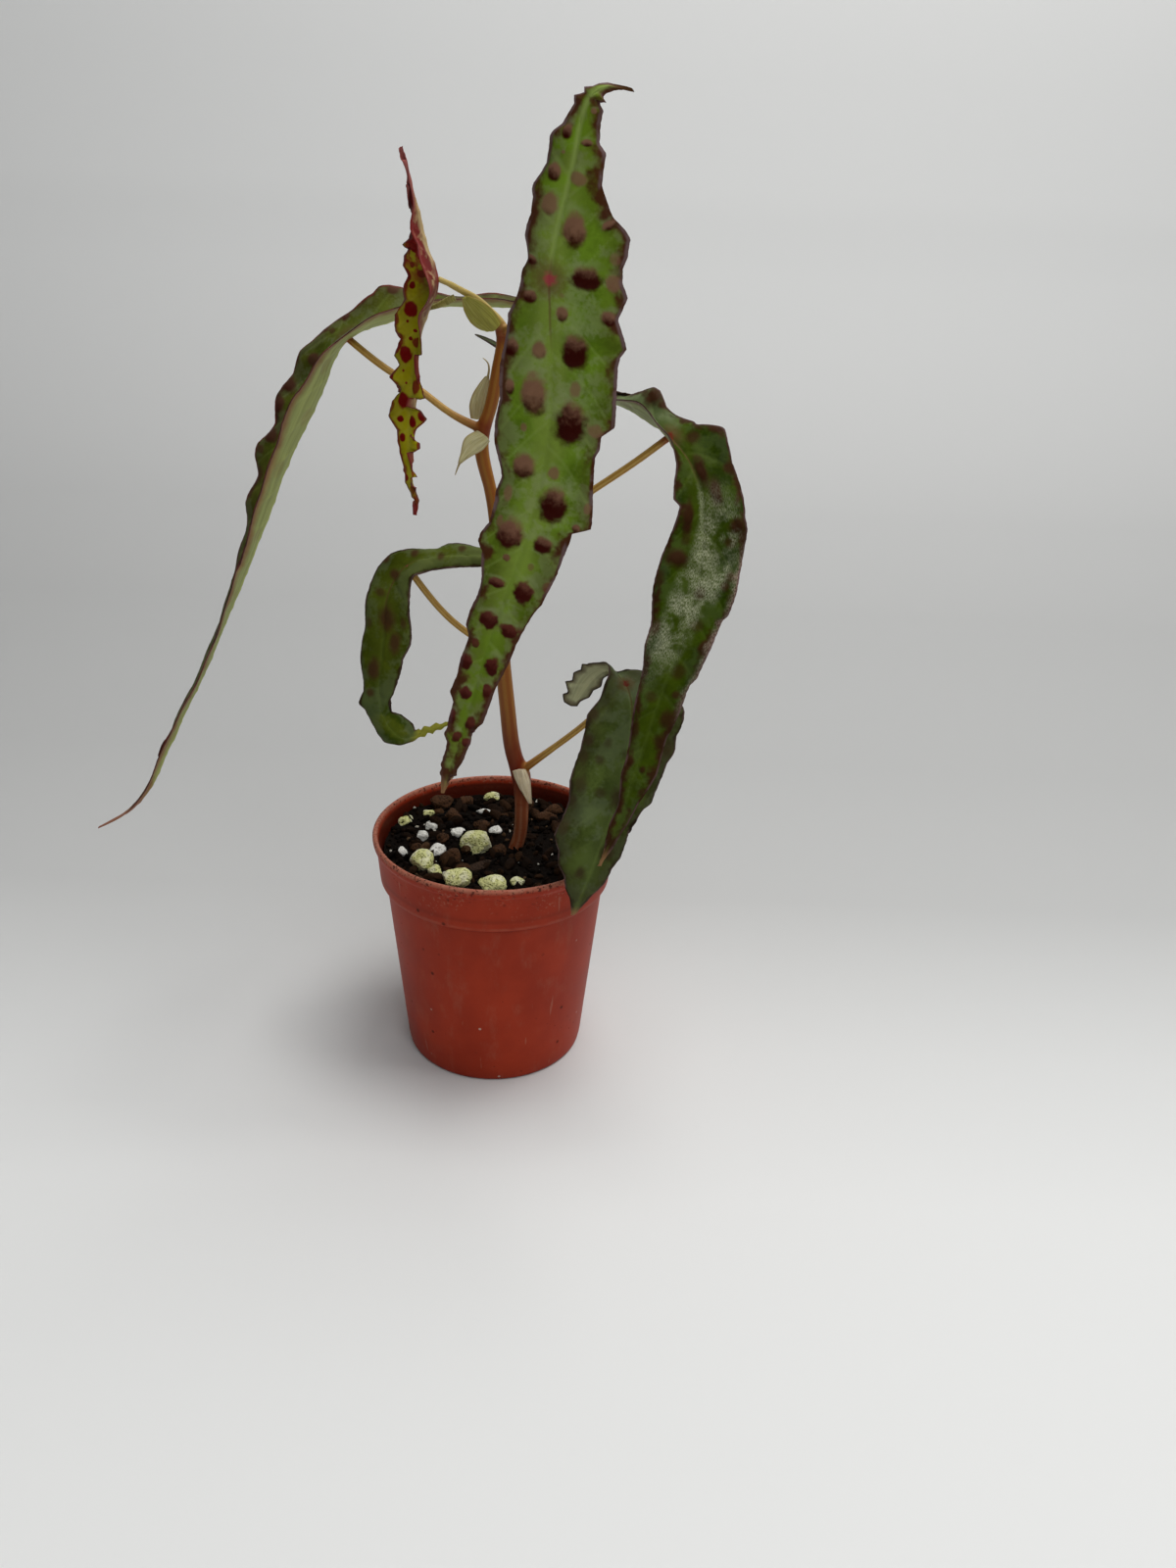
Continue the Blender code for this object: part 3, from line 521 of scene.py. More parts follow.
@dataclass(frozen=True)
class PotPlastic:
    """Terracotta-coloured polypropylene, a little dusty and scuffed."""

    base: Colour = (0.39, 0.036, 0.010)
    dark: Colour = (0.30, 0.024, 0.006)
    worn: Colour = (0.44, 0.21, 0.14)
    dirt: Colour = (0.050, 0.012, 0.007)
    shadow: Colour = (0.130, 0.013, 0.004)  # painted shadow under the step
    stained: Colour = (0.040, 0.005, 0.0015)  # darker on the inner wall above the mix
    splash: Colour = (0.62, 0.50, 0.42)
    bore: tuple[float, float] = (28.35, 28.75)  # radii between which the inner wall begins

    def build(self) -> bpy.types.Material:
        """Make the material.

        Returns:
            The material.
        """
        g = Graph("pot_plastic")
        height = g.axis(2)
        clouds = g.noise(16, 5, rough=0.6)
        g.colour = g.mix(clouds.rise(0.3, 0.7), self.dark, self.base)
        lip = height.rise(58.7, 59.7) * (0.15 + g.noise(1.5, 4) * 0.8)
        g.coat(lip, self.worn)
        film = g.noise(5, 6, (1, 1, 2.2), 0.7).rise(0.50, 0.78) * 0.20
        g.coat(film, self.worn)
        # a painted shadow under the step, and a painted highlight along its upper edge in the worn colour
        shadow_below_step = height.rise(46.9, 47.5) * height.fall(47.9, 48.25)
        highlight_on_step = height.rise(48.25, 48.45) * height.fall(48.7, 49.3) * g.noise(7).rise(0.40, 0.60)
        g.coat(shadow_below_step * 0.65, self.shadow)
        g.coat(highlight_on_step * 0.16, self.worn)
        scratch = g.noise(1.6, 3, (1, 1, 9)).rise(0.70, 0.76) * 0.35
        g.coat(scratch, self.worn)
        grime = g.cells(5).fall(0.06, 0.13) * g.noise(9, 2).rise(0.42, 0.56)
        grime = grime.most(g.noise(0.6, 3).rise(0.57, 0.63) * height.rise(58.4, 59.2))
        grime = grime.most(g.cells(2.6).fall(0.04, 0.10) * g.noise(14, 2).rise(0.5, 0.62))
        dust = g.noise(0.7, 3).rise(0.56, 0.64) * g.noise(9).rise(0.46, 0.58) * height.rise(46, 56)
        g.coat(dust * 0.35, self.worn)
        caught = g.noise(0.9, 4).rise(0.60, 0.66) * g.noise(6).rise(0.46, 0.60) * height.rise(52, 58)
        grime = grime.most(caught)
        g.coat(grime * 0.85, self.dirt)
        splash = g.cells(7.3).fall(0.03, 0.06) * g.noise(12, 2).rise(0.5, 0.58)
        g.coat(splash * 0.7, self.splash)
        x, y = g.axis(0), g.axis(1)
        # the inner wall above the mix is darker
        inside = (x * x + y * y).fall(self.bore[0] ** 2, self.bore[1] ** 2) * height.rise(50, 51)
        g.coat(inside * 0.9, self.stained)
        orange_peel = g.noise(0.7, 3) * 0.5 + clouds * 0.5
        return g.close({
            "Roughness": 0.40 + clouds * 0.12 + film * 0.6 + grime * 0.3,
            "Normal": g.bump(orange_peel + grime * 0.6, 0.07, 0.5),
            "Specular IOR Level": 0.12,
        })


@dataclass(frozen=True)
class MixFinish:
    """Damp peat and bark fines."""

    def build(self) -> bpy.types.Material:
        """Make the material, whose colour follows each crumb's tone.

        Returns:
            The material.
        """
        g = Graph("potting_mix")
        tone = g.attribute("tone") + (g.noise(0.9, 4) - 0.5) * 0.12
        stops = (
            (0, (0.003, 0.002, 0.0015)),
            (0.45, (0.007, 0.004, 0.0025)),
            (0.68, (0.017, 0.008, 0.004)),
            (0.84, (0.050, 0.023, 0.010)),
            (0.93, (0.16, 0.10, 0.055)),
            (0.96, (0.42, 0.38, 0.30)),
            (1, (0.62, 0.60, 0.53)),
        )
        g.colour = g.ramp(tone, stops)
        grain = g.noise(0.45, 5, rough=0.7)
        return g.close({
            "Roughness": 0.70 + grain * 0.25,
            "Normal": g.bump(grain, 0.25, 0.9),
            "Specular IOR Level": 0.05,
        })


class Grain(Enum):
    """Kinds of stone in the mix: base colour, dark colour, pit size in mm and pit depth."""

    PUMICE = ((0.66, 0.66, 0.30), (0.26, 0.27, 0.05), 0.55, 0.35)
    PERLITE = ((0.80, 0.79, 0.74), (0.50, 0.49, 0.45), 0.8, 0.18)
    CLAY = ((0.062, 0.028, 0.013), (0.014, 0.007, 0.004), 0.6, 0.22)
    BARK = ((0.035, 0.020, 0.013), (0.006, 0.004, 0.003), 0.5, 0.3)

    def build(self) -> bpy.types.Material:
        """Make the material of this kind.

        Returns:
            The material.
        """
        base, dark, size, depth = self.value
        g = Graph(self.name.lower())
        stretch = (3, 1, 1) if self is Grain.BARK else (1, 1, 1)
        clouds = g.noise(1.8, 5, stretch, 0.65)
        pits = g.cells(size).rise(0.08, 0.55)
        g.colour = g.mix((clouds + pits * 0.35 - 0.2).rise(0.25, 0.62), dark, base)
        if self is Grain.PUMICE:
            g.coat(g.noise(2.6, 3).rise(0.46, 0.60) * 0.7, (0.82, 0.80, 0.58))
        speck = g.noise(0.5, 3, stretch).fall(0.30, 0.40) * 0.7
        g.coat(speck, tuple(0.5 * c for c in dark))
        return g.close({
            "Roughness": 0.78 + clouds * 0.2,
            "Normal": g.bump(pits * 0.6 + clouds, depth, 0.9),
            "Specular IOR Level": 0.1,
        })


@dataclass(frozen=True)
class CaneFinish:
    """Orange-brown cane with tan leaf stalks that redden at both ends."""

    cane: Colour = (0.27, 0.085, 0.014)
    cane_low: Colour = (0.140, 0.014, 0.002)
    node: Colour = (0.17, 0.018, 0.005)
    stalk: Colour = (0.52, 0.33, 0.085)
    stalk_edge: Colour = (0.38, 0.200, 0.040)
    joint: Colour = (0.22, 0.028, 0.010)
    weathered: Colour = (0.31, 0.085, 0.032)  # below the first node
    fresh: Colour = (0.46, 0.36, 0.11)  # the growing top
    ridge: Colour = (0.40, 0.21, 0.03)
    peel: Colour = (0.46, 0.25, 0.15)

    def build(self) -> bpy.types.Material:
        """Make the material, led by the piece's own height and stalk attributes.

        Returns:
            The material.
        """
        g = Graph("cane")
        height = g.axis(2)
        streak = g.noise(0.9, 4, (1, 1, 9))
        fine = g.noise(0.35, 3)
        on_stalk = g.attribute("stalk")
        groove = g.attribute("groove") + (g.noise(1.2, 2) - 0.5) * 0.3
        g.colour = g.mix((height + (streak - 0.5) * 14).rise(74, 98), self.cane_low, self.cane)
        pale = groove.rise(0.2, 0.95) * height.rise(80, 96)
        g.coat(pale * 0.35, self.ridge)
        g.coat(height.fall(66, 75) * 0.8, self.weathered)
        peeled = (groove * 0.5 + streak).rise(0.70, 0.95) * height.fall(66, 72)
        g.coat(peeled * 0.3, self.peel)
        scars = g.noise(0.5, 2, (14, 14, 1)).rise(0.62, 0.68) * height.fall(64, 70)
        g.coat(scars * 0.6, self.node)
        ring = g.noise(0.8, 2, (9, 9, 1)).rise(0.60, 0.70) * height.fall(76, 84)
        g.coat(ring * 0.4, self.node)
        g.coat(g.attribute("knot").fall(0.6, 3.6) * 0.8, self.node)
        along = g.attribute("along")
        stalk = g.mix((groove * 0.6 + streak * 0.4).rise(0.2, 0.8), self.stalk_edge, self.stalk)
        stalk = g.mix(along.fall(0.02, 0.30) * 0.8, stalk, self.cane)
        stalk = g.mix(along.rise(0.93, 1) * 0.8, stalk, self.joint)
        g.coat(on_stalk, stalk)
        g.coat(height.rise(177, 180.5) * 0.85, self.fresh)
        flecks = g.cells(0.9).fall(0.10, 0.22) * g.noise(3).rise(0.45, 0.6)
        g.coat(flecks * 0.45, self.joint)
        ringed = g.attribute("knot").fall(0.1, 0.7) * 0.4
        return g.close({
            "Roughness": 0.34 + fine * 0.16,
            "Normal": g.bump(groove * 0.4 + fine * 0.5 - ringed, 0.10, 0.6),
            "Specular IOR Level": 0.2,
        })


@dataclass(frozen=True)
class PaperFinish:
    """Thin, dry and half see-through stipule tissue."""

    name: str
    pale: Colour
    dark: Colour
    edge: Colour

    def build(self) -> bpy.types.Material:
        """Make the material, with fine ribs along the sheet.

        Returns:
            The material.
        """
        g = Graph(self.name)
        ribs = g.drawn(26, 2)
        g.colour = g.mix(ribs.rise(0.35, 0.65), self.dark, self.pale)
        g.coat(g.attribute("rib").fall(0.05, 0.35) * 0.5, self.dark)
        g.coat(g.attribute("edge").fall(0.05, 0.45) * 0.6, self.edge)
        return g.close({
            "Roughness": 0.5 + ribs * 0.15,
            "Normal": g.bump(ribs, 0.08, 0.6),
            "Subsurface Weight": 0.25,
            "Subsurface Radius": (0.6, 0.5, 0.2),
            "Subsurface Scale": MM,
            "Specular IOR Level": 0.3,
        })


@dataclass(frozen=True)
class SweepFinish:
    """Matt paper of the studio sweep with painted light falloff: painted bright in front, painted shade where it
    bends, painted paler up the wall.
    """

    front: float = -160.0
    reach: float = 900.0
    # painted light falloff: the paper's tone at each share of the way from its front edge to its top
    stops: tuple[tuple[float, float], ...] = (
        (0, 0.84), (0.11, 0.80), (0.17, 0.71), (0.255, 0.54), (0.365, 0.51), (0.50, 0.53), (0.56, 0.545),
        (0.68, 0.62), (0.80, 0.76), (0.89, 0.875), (0.94, 0.915), (1, 0.89),
    )

    def build(self) -> bpy.types.Material:
        """Make the material; the paper's painted light falloff follows the way from its front edge to its top.

        Returns:
            The material.
        """
        g = Graph("sweep_paper")
        way = (g.axis(1) + g.axis(2) - self.front) / self.reach
        g.colour = g.ramp(way, [(place, (tone, 1.005 * tone, tone)) for place, tone in self.stops])
        return g.close({"Roughness": 0.8, "Specular IOR Level": 0.1})


def deselect() -> None:
    """Leave nothing selected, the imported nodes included."""
    for thing in bpy.context.selected_objects:
        thing.select_set(False)
    bpy.context.view_layer.objects.active = None


def select_only(things: Sequence[bpy.types.Object]) -> None:
    """Select these objects alone; the first one becomes active.

    Args:
        things: The objects.
    """
    deselect()
    for thing in things:
        thing.select_set(True)
    bpy.context.view_layer.objects.active = things[0]


def rename(thing: bpy.types.Object, name: str) -> bpy.types.Object:
    """Name an object and its data.

    Args:
        thing: The object.
        name: Its new name.

    Returns:
        The object.
    """
    thing.name = name
    thing.data.name = name
    return thing


def bake(thing: bpy.types.Object) -> None:
    """Apply all of a piece's modifiers, in their order.

    Args:
        thing: The piece.
    """
    select_only([thing])
    for step in list(thing.modifiers):
        bpy.ops.object.modifier_apply(modifier=step.name)


def modify(thing: bpy.types.Object, kind: str, **settings: object) -> None:
    """Give a piece one modifier.

    Args:
        thing: The piece.
        kind: Blender's modifier type.
        settings: The modifier's properties.
    """
    step = thing.modifiers.new(kind.lower(), kind)
    for key, value in settings.items():
        setattr(step, key, value)


def point_values(thing: bpy.types.Object, name: str, values: np.ndarray) -> None:
    """Store a number for each vertex under a name that materials read."""
    made = thing.data.attributes.new(name, "FLOAT", "POINT")
    made.data.foreach_set("value", values.astype(np.float32).ravel())


def read_points(thing: bpy.types.Object) -> np.ndarray:
    """Vertex places of a piece in millimetres.

    Args:
        thing: The piece.

    Returns:
        One row for each vertex.
    """
    flat = np.zeros(3 * len(thing.data.vertices), np.float32)
    thing.data.vertices.foreach_get("co", flat)
    return flat.reshape(-1, 3).astype(float) / MM


def write_points(thing: bpy.types.Object, points: np.ndarray) -> None:
    """Move a piece's vertices to places in millimetres."""
    thing.data.vertices.foreach_set("co", (points * MM).astype(np.float32).ravel())
    thing.data.update()


def smooth(angle: float) -> None:
    """Shade the active piece smooth up to an angle between faces, in degrees."""
    bpy.ops.object.shade_smooth_by_angle(angle=math.radians(angle))


def dress(thing: bpy.types.Object, materials: Sequence[bpy.types.Material]) -> None:
    """Put materials on a piece, one for each of its slots.

    Args:
        thing: The piece.
        materials: Its finishes in order.
    """
    thing.data.materials.clear()
    for material in materials:
        thing.data.materials.append(material)


def hand_over(thing: bpy.types.Object, slot: str, nodes: Sequence[str]) -> None:
    """Fix a finished piece to the part.

    Args:
        thing: The piece, in place.
        slot: The record's material slot.
        nodes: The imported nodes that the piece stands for, if any.
    """
    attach(thing, BODY)
    if nodes:
        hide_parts(*nodes)
    LOG.info("%s: %d faces, slot %s", thing.name, len(thing.data.polygons), slot)


def unit(vectors: np.ndarray) -> np.ndarray:
    """Vectors of length one."""
    return vectors / np.maximum(np.linalg.norm(vectors, axis=-1, keepdims=True), 1e-9)


def cloud(points: np.ndarray, size: float, seed: float = 0.0) -> np.ndarray:
    """Smooth noise from about -1 to 1 at each point.

    Args:
        points: Places in millimetres, in the last axis.
        size: Width of the noise's blobs in millimetres.
        seed: Shift that gives another pattern.

    Returns:
        The noise, shaped as the points without their last axis.
    """
    flat = points.reshape(-1, 3) / size + seed
    values = [noise.noise(Vector(row)) for row in flat]
    return np.array(values).reshape(points.shape[:-1])


def natural_curve(keys: np.ndarray, values: np.ndarray, at: np.ndarray) -> np.ndarray:
    """Read the natural cubic curve through points.

    Args:
        keys: Parameter of each point.
        values: The points.
        at: Parameters to read.

    Returns:
        The curve's place at each parameter.
    """
    count = len(keys)
    step = np.diff(keys)
    matrix = np.eye(count)
    slope = np.zeros_like(values)
    for i in range(1, count - 1):
        matrix[i, i - 1:i + 2] = step[i - 1], 2.0 * (step[i - 1] + step[i]), step[i]
        slope[i] = 6.0 * ((values[i + 1] - values[i]) / step[i] - (values[i] - values[i - 1]) / step[i - 1])
    bend = np.linalg.solve(matrix, slope)
    left = np.clip(np.searchsorted(keys, at) - 1, 0, count - 2)
    width = step[left][:, None]
    before = (at - keys[left])[:, None]
    after = width - before
    cubic = (bend[left] * after ** 3 + bend[left + 1] * before ** 3) / (6.0 * width)
    line = (values[left] / width - bend[left] * width / 6.0) * after
    line += (values[left + 1] / width - bend[left + 1] * width / 6.0) * before
    return cubic + line


def chord_keys(points: np.ndarray) -> np.ndarray:
    """Distance travelled from point to point."""
    return np.concatenate([[0.0], np.cumsum(np.linalg.norm(np.diff(points, axis=0), axis=1))])


def even_parameters(keys: np.ndarray, points: np.ndarray, count: int) -> tuple[np.ndarray, float]:
    """Parameters that step evenly along the curve through points.

    Args:
        keys: Parameter of each point.
        points: The points.
        count: How many parameters.

    Returns:
        The parameters and the curve's length.
    """
    dense = np.linspace(keys[0], keys[-1], 12 * len(keys) + 1)
    travelled = chord_keys(natural_curve(keys, points, dense))
    return np.interp(np.linspace(0.0, travelled[-1], count), travelled, dense), float(travelled[-1])


def loft_guides(stations: Stations, count: int) -> tuple[list[np.ndarray], float]:
    """Midrib and margin reaches of a sheet at even steps.

    Args:
        stations: Points of the midrib with the reach of the left and the right margin.
        count: How many steps.

    Returns:
        The midrib, the left and right reaches, and the midrib's length.
    """
    table = np.array(stations, dtype=float).reshape(-1, 3, 3)
    keys = chord_keys(table[:, 0])
    at, length = even_parameters(keys, table[:, 0], count)
    return [natural_curve(keys, table[:, i], at) for i in range(3)], length


def grid_piece(name: str, points: np.ndarray, flip: bool) -> bpy.types.Object:
    """Lay a grid on points.

    Args:
        name: Name of the piece.
        points: Rows by columns of places in millimetres.
        flip: Whether the faces are turned over.

    Returns:
        The sheet, one face thick.
    """
    rows, columns = points.shape[:2]
    deselect()
    bpy.ops.mesh.primitive_grid_add(x_subdivisions=columns - 1, y_subdivisions=rows - 1, size=1.0)
    made = rename(bpy.context.object, name)
    write_points(made, points.reshape(-1, 3))
    if flip:
        bpy.ops.object.mode_set(mode="EDIT")
        bpy.ops.mesh.select_all(action="SELECT")
        bpy.ops.mesh.flip_normals()
        bpy.ops.object.mode_set(mode="OBJECT")
    return made


def thicken(thing: bpy.types.Object, thickness: float, under_slot: int, fullness: np.ndarray) -> None:
    """Give a sheet its thickness, half to each side, and shade it smooth.

    Args:
        thing: The sheet.
        thickness: In millimetres, where the sheet is thickest.
        under_slot: How many material slots further on the underside's finish is.
        fullness: Share of the full thickness at each vertex.
    """
    full = thing.vertex_groups.new(name="fullness")
    for level in range(1, 9):
        chosen = np.flatnonzero(np.round(8.0 * fullness.ravel()) == level)
        full.add(chosen.tolist(), level / 8.0, "REPLACE")
    modify(
        thing, "SOLIDIFY", thickness=thickness * MM, offset=0.0, material_offset=under_slot,
        vertex_group="fullness", thickness_vertex_group=0.3)
    bake(thing)
    smooth(SHEET_ANGLE)


def turn_profile(name: str, profile: Sequence[tuple[float, float]], segments: int) -> bpy.types.Object:
    """Turn a closed shape on the Z axis.

    Args:
        name: Name of the piece.
        profile: Radius and height of each ring, from round the axis below to round the axis above.
        segments: Vertices of a ring.

    Returns:
        The turned shape, closed at both poles.
    """
    deselect()
    (radius, height), *rest = profile
    bpy.ops.mesh.primitive_circle_add(
        vertices=segments, radius=radius * MM, fill_type="TRIFAN", location=(0.0, 0.0, height * MM))
    made = rename(bpy.context.object, name)
    bpy.ops.object.transform_apply(location=True)
    bpy.ops.object.mode_set(mode="EDIT")
    bpy.ops.mesh.select_all(action="SELECT")
    bpy.ops.mesh.region_to_loop()
    for next_radius, next_height in rest:
        bpy.ops.mesh.extrude_region_move(
            TRANSFORM_OT_translate={"value": (0.0, 0.0, (next_height - height) * MM)})
        share = next_radius / radius
        bpy.ops.transform.resize(value=(share, share, 1.0), center_override=(0.0, 0.0, next_height * MM))
        radius, height = next_radius, next_height
    bpy.ops.mesh.extrude_region_move(TRANSFORM_OT_translate={"value": (0.0, 0.0, 0.0)})
    bpy.ops.mesh.merge(type="CENTER")
    bpy.ops.mesh.select_all(action="SELECT")
    bpy.ops.mesh.normals_make_consistent(inside=False)
    bpy.ops.object.mode_set(mode="OBJECT")
    return made


def tube(name: str, route: Route, sides: int, step: float) -> bpy.types.Object:
    """A round bar along a route.

    Args:
        name: Name of the piece.
        route: Centres with their radii.
        sides: Faces round the bar.
        step: Distance between rings.

    Returns:
        The bar as a mesh with closed ends.
    """
    centres = np.array([centre for centre, _ in route], dtype=float)
    radii = np.array([radius for _, radius in route], dtype=float)
    keys = chord_keys(centres)
    count = max(6, int(keys[-1] / step))
    at, _ = even_parameters(keys, centres, count)
    curve = bpy.data.curves.new(name, "CURVE")
    curve.dimensions = "3D"
    curve.bevel_depth = MM
    curve.bevel_resolution = sides // 4
    curve.use_fill_caps = True
    line = curve.splines.new("POLY")
    line.points.add(count - 1)
    for point, place, width in zip(line.points, natural_curve(keys, centres, at), np.interp(at, keys, radii)):
        point.co = (*(MM * place), 1.0)
        point.radius = width
    made = bpy.data.objects.new(name, curve)
    bpy.context.scene.collection.objects.link(made)
    select_only([made])
    bpy.ops.object.convert(target="MESH")
    made = rename(bpy.context.object, name)
    bpy.ops.object.mode_set(mode="EDIT")
    bpy.ops.mesh.select_all(action="SELECT")
    bpy.ops.mesh.remove_doubles(threshold=1e-6)
    bpy.ops.mesh.normals_make_consistent(inside=False)
    bpy.ops.object.mode_set(mode="OBJECT")
    return made


def join(things: Sequence[bpy.types.Object]) -> bpy.types.Object:
    """Join pieces in one mesh and hand it back.

    Args:
        things: The pieces; the first one takes in the rest.

    Returns:
        The joined piece.
    """
    select_only(things)
    bpy.ops.object.join()
    return bpy.context.object


def lump(name: str, levels: int) -> bpy.types.Object:
    """A ball of triangles of radius one millimetre at the origin.

    Args:
        name: Name of the piece.
        levels: How finely it is divided.

    Returns:
        The ball.
    """
    deselect()
    bpy.ops.mesh.primitive_ico_sphere_add(subdivisions=levels, radius=MM)
    return rename(bpy.context.object, name)


@dataclass(frozen=True)
class NurseryPot:
    """The round pot: rolled lip, wide band, step and tapered body, with drain holes in its floor."""

    height: float = 60.0
    lip_radius: float = 30.0
    wall: float = 1.2
    band_depth: float = 12.0
    body_radius: float = 27.0
    foot_radius: float = 22.4
    floor: float = 1.4
    drain_radius: float = 2.6
    drain_circle: float = 15.0
    drains: int = 5
    drain_sides: int = 40
    segments: int = 160

    def wall_inside(self, height: float) -> float:
        """Radius of the inner wall at a height.

        Args:
            height: Above the underside.

        Returns:
            The radius.
        """
        band_foot = self.height - self.band_depth
        heights = (self.floor, band_foot - 0.8, band_foot + 0.8, self.height - 2.8, self.height)
        radii = (
            self.foot_radius - self.wall - 1.0,
            self.body_radius - self.wall,
            self.lip_radius - 1.6 - self.wall,
            self.lip_radius - 0.9 - self.wall,
            self.lip_radius - self.wall,
        )
        return float(np.interp(height, heights, radii))

    def profile(self) -> list[tuple[float, float]]:
        """Rings from the middle of the underside, up the outside, over the lip and down inside.

        Returns:
            Radius and height of each ring.
        """
        top = self.height
        lip = self.lip_radius
        band_foot = top - self.band_depth
        inner_foot = self.foot_radius - self.wall
        outside = [
            (8.0, 0.5), (19.4, 0.5), (20.2, 0.0), (21.4, 0.0), (22.0, 0.2), (22.3, 0.6), (22.42, 1.2), (22.62, 2.2),
        ]
        shares = np.linspace(0.08, 0.985, 12)
        low, high = np.array((22.6, 2.0)), np.array((self.body_radius, band_foot - 0.7))
        outside += [tuple(low + share * (high - low)) for share in shares]
        step = (
            (27.05, -0.55), (27.3, -0.35), (27.9, -0.15), (28.25, 0.05), (28.4, 0.35), (28.45, 0.9), (28.55, 2.0),
            (28.75, 4.5), (28.95, 7.0),
        )
        roll = (
            (29.1, -3.4), (29.2, -2.9), (29.45, -2.55), (29.75, -2.2), (29.9, -1.7), (lip, -1.1), (lip, -0.6),
            (29.88, -0.25), (29.65, -0.05), (29.4, 0.0), (29.1, -0.08), (28.9, -0.3), (28.8, -0.7), (28.2, -2.6),
            (27.95, -3.4),
        )
        step_inside = ((27.6, 3.0), (27.2, 0.9), (26.9, 0.2), (26.1, -0.5), (25.8, -1.2))
        floor = [
            (24.2, 30.0), (22.6, 14.0), (inner_foot - 0.6, 3.2), (inner_foot - 1.0, 2.0),
            (inner_foot - 1.8, self.floor), (8.0, self.floor),
        ]
        for base, rings in ((band_foot, step), (top, roll), (band_foot, step_inside)):
            outside += [(radius, base + rise) for radius, rise in rings]
        return outside + floor

    def build(self) -> bpy.types.Object:
        """Turn the pot, cut its drain holes and dress it.

        Returns:
            The pot.
        """
        made = turn_profile("nursery_pot", self.profile(), self.segments)
        for i in range(self.drains):
            angle = math.tau * (i + 0.5) / self.drains
            place = (MM * self.drain_circle * math.cos(angle), MM * self.drain_circle * math.sin(angle), MM * 0.7)
            deselect()
            bpy.ops.mesh.primitive_cylinder_add(
                vertices=self.drain_sides, radius=MM * self.drain_radius, depth=MM * 3.0 * self.floor,
                location=place)
            cutter = bpy.context.object
            modify(made, "BOOLEAN", object=cutter, operation="DIFFERENCE", solver="EXACT")
            bake(made)
            bpy.data.objects.remove(cutter, do_unlink=True)
        select_only([made])
        smooth(POT_ANGLE)
        dress(made, [PotPlastic().build()])
        hand_over(made, "pot_plastic", ["pot"])
        return made


@dataclass(frozen=True)
class MixSurface:
    """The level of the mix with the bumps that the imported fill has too."""

    level: float = 55.0
    edge: float = 56.6
    relief: float = 0.9
    bumps: int = 60
    seed: int = 21

    def draw_bumps(self) -> np.ndarray:
        """Place, width and rise of each bump.

        Returns:
            One row for each bump: X, Y, width and rise.
        """
        draw = random.Random(self.seed)
        bumps = []
        for _ in range(self.bumps):
            angle = draw.uniform(0.0, math.tau)
            away = 26.0 * math.sqrt(draw.random())
            rise = self.relief * draw.uniform(-0.6, 1.0)
            bumps.append((away * math.cos(angle), away * math.sin(angle), draw.uniform(2.0, 4.0), rise))
        return np.array(bumps)

    def height(self, x: np.ndarray, y: np.ndarray) -> np.ndarray:
        """Height of the mix at places.

        Args:
            x: Places along X.
            y: Places along Y.

        Returns:
            The heights.
        """
        x = np.asarray(x, dtype=float)
        y = np.asarray(y, dtype=float)
        found = self.level - 0.02 * x + 0.015 * y
        for bump_x, bump_y, width, rise in self.draw_bumps():
            found = found + rise * np.exp(-((x - bump_x) ** 2 + (y - bump_y) ** 2) / (width * width))
        return found


@dataclass(frozen=True)
class Crumbs:
    """Loose crumbs of one size range: how many, their half sizes and their tones."""

    count: int
    small: float
    large: float
    low_tone: float
    high_tone: float
    length: float = 1.0


